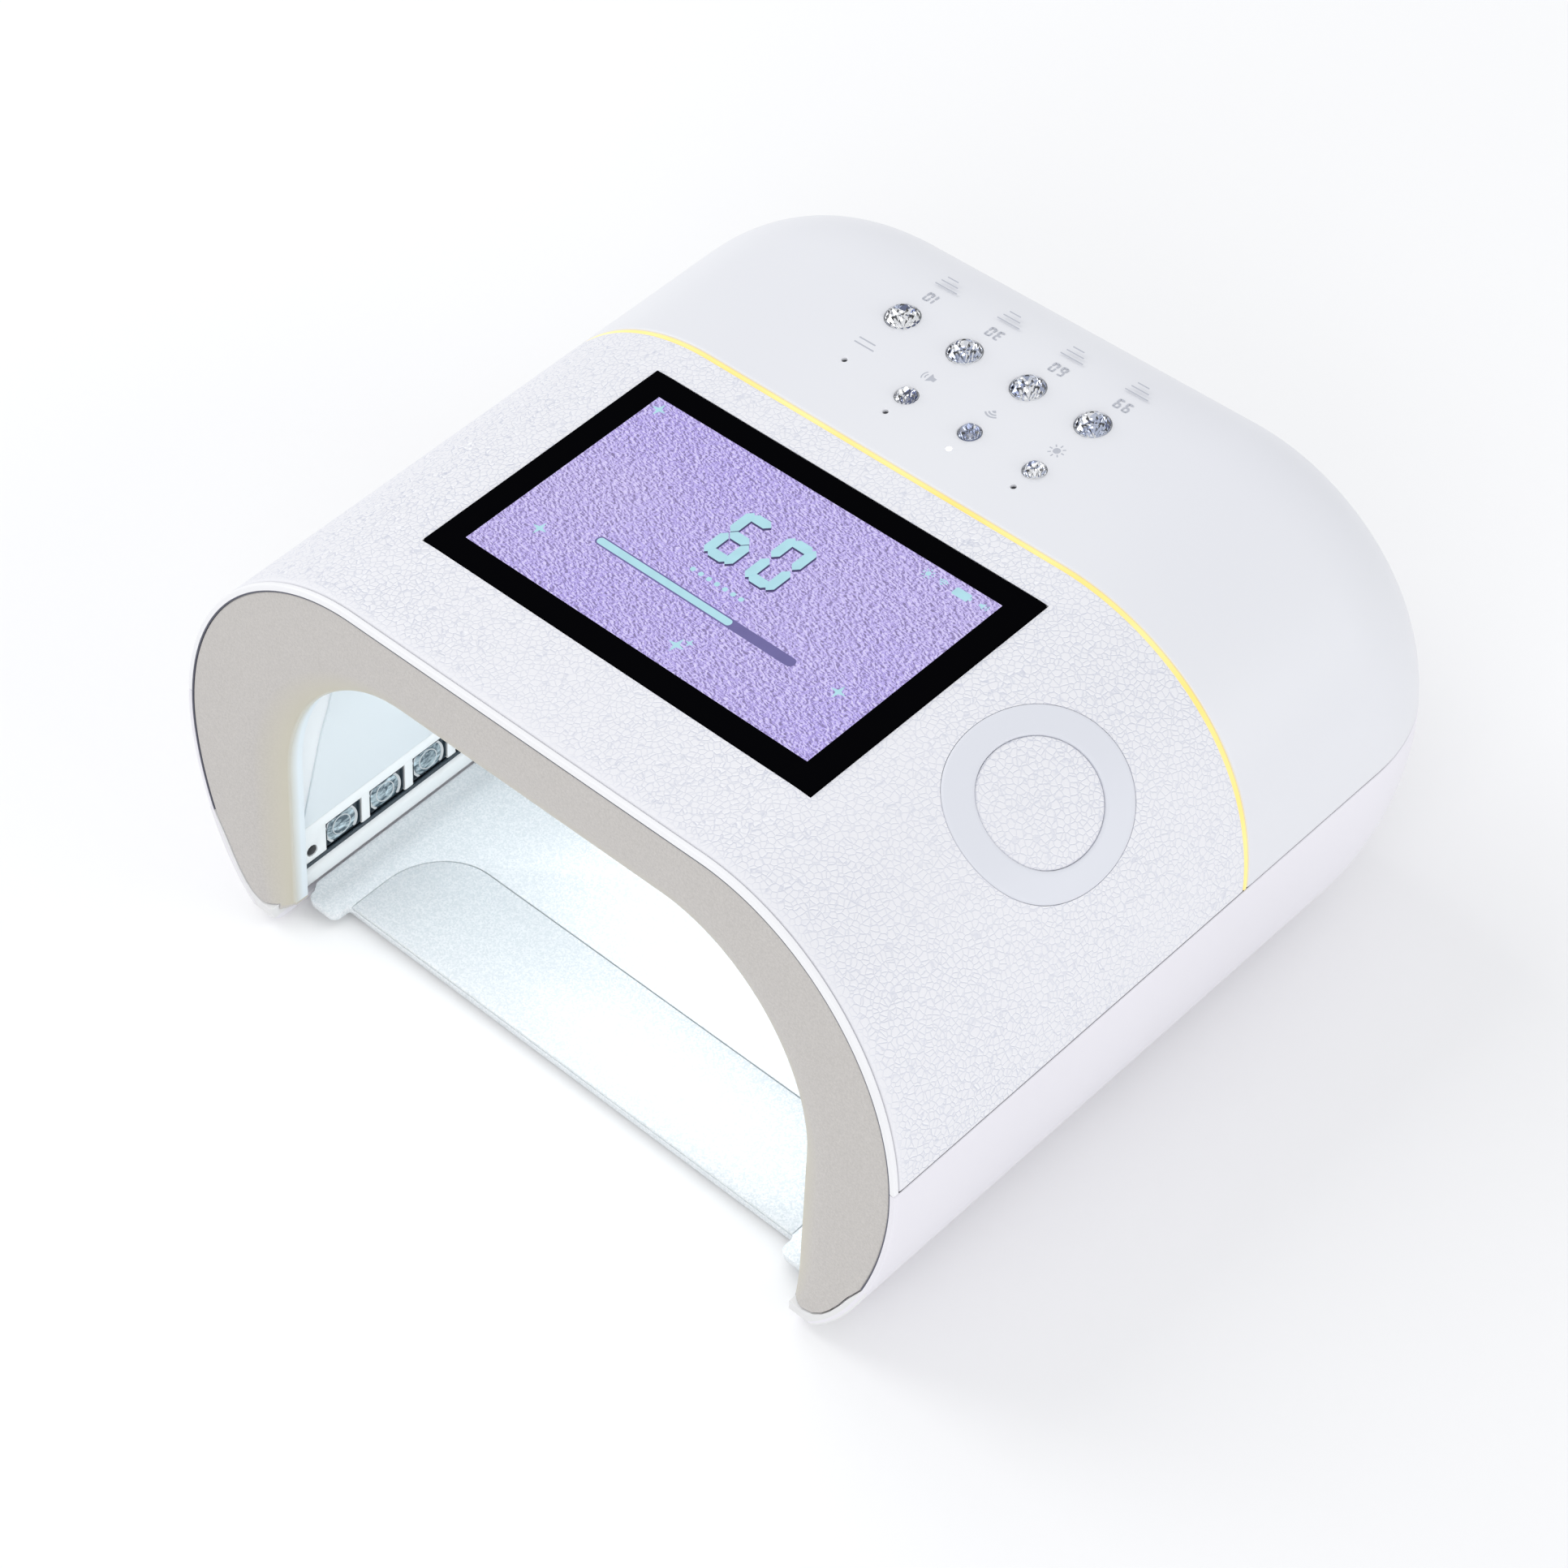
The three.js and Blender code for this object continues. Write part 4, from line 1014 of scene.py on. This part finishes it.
def flat_shape(name, outlines, look, lift=0.03, thick=0.05, base=GLASS_TOP, slot="display_black"):
    """Thin printed or lit shapes on a flat surface, as one piece of small plates."""
    bm = bmesh.new()
    for outline in outlines:
        bm.from_mesh(plate(outline, base + lift, base + lift + thick))
    finish_piece(link(name, mesh_of(bm), look), slot)


def bar_outline(x0, y0, x1, y1, r):
    corners = ((x1 - r, y1 - r, 0), (x0 + r, y1 - r, 90), (x0 + r, y0 + r, 180), (x1 - r, y0 + r, 270))
    return [p for cx, cy, a in corners for p in arc(cx, cy, r, a, a + 90, 5)]


SEGMENTS = {"0": "abcdef", "1": "bc", "3": "abgcd", "6": "afgedc", "9": "abcdfg"}


def digit_outlines(text, cx, cy, height, flip=1):
    """Seven-segment digits. flip -1 turns them to be read from behind."""
    w, h, t = height * 0.55, height / 2, height * 0.16
    pitch, half = w * 1.42, t / 2
    level, upright = w / 2 - t * 0.55, h / 2 - t * 0.1
    spans = {
        "a": (0, h - half, level), "g": (0, 0, level), "d": (0, -h + half, level),
        "b": (w / 2 - half, h / 2, upright), "c": (w / 2 - half, -h / 2, upright),
        "f": (-w / 2 + half, h / 2, upright), "e": (-w / 2 + half, -h / 2, upright),
    }
    outlines = []
    for index, char in enumerate(text):
        ox = (index - (len(text) - 1) / 2) * pitch
        for key in SEGMENTS[char]:
            sx, sy, end = spans[key]
            shape = [(-end, 0), (-end + half, half), (end - half, half), (end, 0), (end - half, -half)]
            shape.append((-end + half, -half))
            if key not in "agd":
                shape = [(y, x) for x, y in reversed(shape)]
            outlines.append([(cx + flip * (ox + sx + x), cy + flip * (sy + y)) for x, y in shape])
    return outlines


def star_outline(cx, cy, r):
    """A star with four points."""
    angles = np.linspace(0, 2 * math.pi, 8, endpoint=False)
    reach = (r, r * 0.3) * 4
    return [(cx + d * math.cos(a), cy + d * math.sin(a)) for d, a in zip(reach, angles)]


def band(r, width, start, end, steps):
    """A stretch of a ring about the origin."""
    return arc(0, 0, r, start, end, steps) + arc(0, 0, r - width, end, start, steps)


def wifi_outlines(cx, cy, size, flip=1):
    shapes = [band(size * k, size * 0.17, 45, 135, 8) for k in (1.0, 0.68)]
    shapes.append([(0, 0), *arc(0, 0, size * 0.34, 45, 135, 6)][::-1])
    return [[(cx + flip * x, cy + flip * (y - size * 0.5)) for x, y in shape] for shape in shapes]


def speaker_outlines(cx, cy, size, flip=1):
    cone = [(-0.75, -0.25), (-0.4, -0.25), (0.05, -0.6), (0.05, 0.6), (-0.4, 0.25), (-0.75, 0.25)]
    shapes = [[(x * size, y * size) for x, y in cone]]
    shapes += [band(size * k, size * 0.12, -40, 40, 7) for k in (0.5, 0.85)]
    return [[(cx + flip * x, cy + flip * y) for x, y in shape] for shape in shapes]


def sun_outlines(cx, cy, size):
    shapes = [arc(cx, cy, size * 0.42, 0, 330, 12)]
    for a in np.radians(np.arange(0, 360, 45)):
        along, across = np.array([math.cos(a), math.sin(a)]), np.array([-math.sin(a), math.cos(a)])
        ends = [(0.6, -0.07), (0.95, -0.07), (0.95, 0.07), (0.6, 0.07)]
        shapes.append([tuple(np.array([cx, cy]) + size * (u * along + v * across)) for u, v in ends])
    return shapes


def make_interface():
    """A generic countdown screen: digits, a progress bar, sparkles and status icons, read from the front."""
    gy = GLASS_Y
    digits = digit_outlines("60", 0.8, gy + 9.0, 17.0)
    shadow = [[(x + 0.5, y - 0.5) for x, y in outline] for outline in digits]
    flat_shape("ui_digits_shadow", shadow, "ui_shade", 0.01, 0.02)
    flat_shape("ui_digits", digits, "ui_ink", 0.04, 0.03)
    dots = [bar_outline(x, gy - 5.6, x + 1.3, gy - 4.3, 0.5) for x in np.arange(-7.6, 8.5, 2.6)]
    flat_shape("ui_steps", dots, "ui_ink")
    flat_shape("ui_bar_back", [bar_outline(-31.5, gy - 13.4, 32.5, gy - 10.6, 1.35)], "ui_dim", 0.01, 0.02)
    flat_shape("ui_bar", [bar_outline(-31.0, gy - 13.0, 12.5, gy - 11.0, 0.95)], "ui_ink", 0.04, 0.03)
    stars = [
        (-44.2, -18.2, 2.2), (45.9, -11.8, 2.2), (7.7, -24.6, 2.4), (9.6, -22.3, 1.3), (-52.1, 28.1, 2.2),
    ]
    flat_shape("ui_sparkles", [star_outline(x, gy + y, r) for x, y, r in stars], "ui_ink")
    icons = sun_outlines(35.5, gy + 28.2, 1.7) + wifi_outlines(40.0, gy + 28.2, 1.9)
    icons += speaker_outlines(52.4, gy + 28.3, 1.6)
    battery = bar_outline(43.6, gy + 26.9, 48.2, gy + 29.3, 0.4)
    icons += [battery, bar_outline(48.35, gy + 27.6, 48.8, gy + 28.6, 0.15)]
    flat_shape("ui_status", icons, "ui_ink")


def make_labels():
    """Pale grey printed marks beside the buttons, read from behind: seconds and plain pictograms."""
    marks = []
    for text, x in zip(("10", "30", "60", "99"), LARGE_GEM["xs"]):
        marks += digit_outlines(text, x + 1.2, 77.8, 3.4, flip=-1)
        for k in range(3):
            y = 82.6 + 1.7 * k
            marks.append(bar_outline(x - 2.6 + 0.5 * k, y, x + 4.6 - 1.3 * k, y + 0.35, 0.15))
    marks += speaker_outlines(-10.4, 56.4, 2.5, flip=-1)
    marks += wifi_outlines(9.8, 56.4, 2.7, flip=-1)
    marks += sun_outlines(30.2, 56.4, 2.3)
    marks += [bar_outline(-33.6, 54.6 + 1.8 * k, -27.2 - 1.1 * k, 55.0 + 1.8 * k, 0.18) for k in range(2)]
    flat_shape("button_marks", marks, "print_grey", 0.0, 0.03, TOP, "satin_white")


# ---- buttons and pad -------------------------------------------------------------------------------
def make_gem(name, gem, x, body, node):
    """A round brilliant on a plunger: crown facets, a girdle and a mirrored pavilion."""
    r, top, y = gem["r"] * STONE, gem["top"], gem["y"]
    girdle_top, girdle = TOP + 0.1, TOP - 0.35
    crown, deep = top - girdle_top, girdle - r * 0.86

    def ring(share, z, count, start=0.0):
        angles = [math.radians(start + k * 360 / count) for k in range(count)]
        return [(x + r * share * math.cos(a), y + r * share * math.sin(a), z) for a in angles]

    points = ring(1, girdle, 16) + ring(1, girdle_top, 16) + ring(0.84, girdle_top + crown * 0.52, 8, 22.5)
    points += ring(0.56, top, 8) + ring(0.62, girdle - r * 0.42, 8, 22.5) + [(x, y, deep)]
    low, high = range(16), range(16, 32)
    mid, table, pavilion = (range(first, first + 8) for first in (32, 40, 48))
    culet = 56
    faces = [(low[k], low[(k + 1) % 16], high[(k + 1) % 16], high[k]) for k in range(16)]
    for k in range(8):
        left, centre, right = high[2 * k], high[2 * k + 1], high[(2 * k + 2) % 16]
        faces += [(left, centre, mid[k]), (centre, right, mid[k])]
        faces += [(left, mid[k], table[k], mid[k - 1]), (mid[k], table[(k + 1) % 8], table[k])]
    faces.append(tuple(table))
    first_foil = len(faces)
    for k in range(8):
        left, centre, right = low[2 * k], low[2 * k + 1], low[(2 * k + 2) % 16]
        faces += [(left, pavilion[k], centre), (centre, pavilion[k], right)]
        faces.append((left, pavilion[k - 1], culet, pavilion[k]))
    mesh = mesh_from(points, faces)
    for polygon in mesh.polygons:
        polygon.material_index = 1 if polygon.index >= first_foil else 0
    finish_piece(link(name, mesh, "gem_clear", "gem_foil"), "gem_clear", node, body=body)
    cup = [(0, 108.4), (r * 0.6, 108.4), (r * 0.6, 110.2), (r + 0.1, 110.4), (r + 0.1, girdle - 0.1)]
    cup += [(r - 0.12, girdle - 0.1), (r - 0.35, girdle - 0.5), (r * 0.5, deep - 0.2), (0, deep - 0.3)]
    setting = link(f"{name}_setting", moved(turned(cup, 40), x, y), "steel")
    finish_piece(setting, "gem_clear", body=body, angle=32)


def make_buttons():
    for size, gem in (("large", LARGE_GEM), ("small", SMALL_GEM)):
        for i, x in enumerate(gem["xs"], 1):
            make_gem(f"stone_{size}_{i}", gem, x, f"button_{size}_{i}", f"gem_button_{size}_{i}")
    for i, (x, y) in enumerate(DOTS, 1):
        z0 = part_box(f"indicator_{i}")[0].z / MM
        look, height = ("dot_lit", TOP - 0.02) if i == LIT_DOT else ("dot_dark", TOP - 0.5)
        profile = [(0, z0), (0.6, z0), (0.6, height - 0.15), (0.45, height), (0, height + 0.03)]
        pipe = link(f"light_pipe_{i}", moved(turned(profile, 24), x, y), look)
        finish_piece(pipe, "lens_clear", f"indicator_{i}", angle=32)


def shoulder_frame():
    """The matrix that takes a piece built round +Z onto the right shoulder where the round pad sits."""
    out = Vector((math.cos(ROUNDEL_ANGLE), 0.0, math.sin(ROUNDEL_ANGLE)))
    along = Vector((0.0, 1.0, 0.0))
    x, z = arch(1 + ROUNDEL_ANGLE * 2 / math.pi)
    turn = Matrix((along, out.cross(along), out)).transposed().to_4x4()
    return Matrix.Translation(Vector((float(x), ROUNDEL_Y, float(z))) * MM) @ turn


def pad_ring(r, lift):
    """Points of a circle on the shoulder about the pad's middle, lift outwards from the surface."""
    turn = np.array(shoulder_frame())
    a = np.linspace(0, 2 * math.pi, 128, endpoint=False)
    local = np.stack([r * np.cos(a), r * np.sin(a), np.zeros(len(a))], axis=-1)
    points = local @ turn[:3, :3].T + turn[:3, 3] / MM
    dx, dz = points[:, 0] - FLAT_HALF, points[:, 2] - WAIST_Z
    reach_x, reach_z = HALF_W - FLAT_HALF, TOP - WAIST_Z
    scale = 1 / np.hypot(dx / reach_x, dz / reach_z)
    points[:, 0] = FLAT_HALF + dx * scale * (1 + lift / reach_x)
    points[:, 2] = WAIST_Z + dz * scale * (1 + lift / reach_z)
    return points


def pad_disc(r, low, high, soft=0.0):
    """Loops of a disc that follows the shoulder between two heights, its top edge rounded down by soft."""
    out = np.linspace(0.01, r, 24)
    under = [pad_ring(d, low) for d in out]
    over = [*out[:-1], r - 0.5, r - 0.2, r]
    return under + [pad_ring(d, high - soft * math.exp(-(r - d) / 0.35)) for d in over[::-1]]


def make_roundel():
    """A plain round speaker pad: a smooth rim round a leather disc."""
    rs = np.linspace(ROUNDEL_RIM, ROUNDEL_R, 25)
    loops = [pad_ring(r, 0.27 - 0.32 * math.exp(-min(ROUNDEL_R - r, r - ROUNDEL_RIM) / 0.3)) for r in rs]
    loops += [pad_ring(r, -0.8) for r in rs[::-4]]
    rim = link("pad_rim", loop_solid(loops, closed_section=True), "pad_white")
    finish_piece(rim, "trim_white", "roundel", angle=60)
    disc = link("pad_disc", loop_solid(pad_disc(ROUNDEL_RIM - 0.15, -0.78, -0.12, 0.35)), "pad_leather")
    finish_piece(disc, "leather_white", angle=60)


# ---- underside and back ----------------------------------------------------------------------------
def make_small_parts():
    for i in range(1, 5):
        copied(f"foot_pad_{i}", f"foot_{i}", "rubber_dark", "rubber_dark", 0.25, 2, 60)
    copied("inlet_socket", "dc_inlet", "black_plastic", "black_plastic", 0.2, 2, 50)
    copied("switch_frame", "switch_body", "black_plastic", "black_plastic", 0.35, 3, 50)
    copied("rocker_cap", "power_rocker", "black_plastic", "black_plastic", 0.3, 2, 40, body="rocker")


NODE_LOOKS = {
    "led_board_left": "aluminium", "led_board_right": "aluminium", "ceiling_led_board": "aluminium",
    "ceiling_lens_plate": "lens_clear", "display_panel": "steel", "display_bracket": "steel",
    "button_board": "pcb_green", "main_board": "pcb_green", "battery_pack": "cell_wrap",
    "speaker": "black_plastic",
}


def dress_nodes():
    for node, look in NODE_LOOKS.items():
        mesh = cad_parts[node].data
        mesh.materials.clear()
        mesh.materials.append(LOOK[look])


# ---- stage -----------------------------------------------------------------------------------------
CAMERA_AT = Vector((0.52416, -0.45675, 0.76216))
CAMERA_RIGHT = Vector((0.70924, 0.69994, -0.08404))
CAMERA_UP = Vector((-0.47052, 0.55877, 0.68292))
CAMERA_FORWARD = Vector((-0.52497, 0.44481, -0.72564))
LENS_MM = 94.81


def make_camera():
    """The camera stands past the right front corner and looks down at the lamp."""
    data = bpy.data.cameras.new("camera")
    data.lens = LENS_MM
    data.sensor_width = 36.0
    data.clip_start, data.clip_end = 0.01, 20.0
    camera = link("camera", data)
    turn = Matrix((CAMERA_RIGHT, CAMERA_UP, -CAMERA_FORWARD)).transposed().to_4x4()
    camera.matrix_world = Matrix.Translation(CAMERA_AT) @ turn
    bpy.context.scene.camera = camera


def area_light(name, at, target, size, power, colour):
    """A soft box of a width and height in metres, at a place, that shines at a target."""
    data = bpy.data.lights.new(name, "AREA")
    data.energy, data.color, data.shape = power, colour, "RECTANGLE"
    data.size, data.size_y = size
    light = link(name, data)
    light.location = at
    light.rotation_euler = (Vector(target) - Vector(at)).to_track_quat("-Z", "Y").to_euler()


def make_floor():
    bm = bmesh.new()
    bmesh.ops.create_grid(bm, x_segments=24, y_segments=24, size=3.0)
    link("floor", mesh_of(bm), "floor_white")


def make_lights():
    """A pale sky, three soft boxes round the lamp and a small one in the hand cavity."""
    scene = bpy.context.scene
    scene.view_settings.view_transform = "Standard"
    world = bpy.data.worlds.new("studio")
    world.use_nodes = True
    sky = world.node_tree.nodes["Background"].inputs
    sky["Color"].default_value = (0.97, 0.98, 1.0, 1.0)
    sky["Strength"].default_value = 0.78
    scene.world = world
    lamp = (0, 0, 0.05)
    area_light("soft_left", (-1.7, -0.1, 1.5), lamp, (1.6, 2.2), 16.5, (1.0, 1.0, 0.995))
    area_light("soft_front", (1.0, -1.7, 1.2), lamp, (1.4, 1.0), 8.0, (1.0, 0.995, 1.0))
    area_light("soft_right", (1.9, 0.5, 0.8), lamp, (1.4, 1.0), 6.0, (0.99, 0.99, 1.0))
    area_light("cavity_glow", (0, -0.042, 0.076), (0, -0.08, 0), (0.15, 0.08), 0.06, (1.0, 0.995, 0.99))


make_front_cover()
make_front_trim()
make_light_strip()
make_rear_cover()
make_bezel()
make_tub()
make_shadow_strips()
make_liner()
make_liner_panel()
make_side_walls()
make_tray()
make_display()
make_interface()
make_labels()
make_buttons()
make_roundel()
make_small_parts()
dress_nodes()
make_floor()
make_lights()
make_camera()
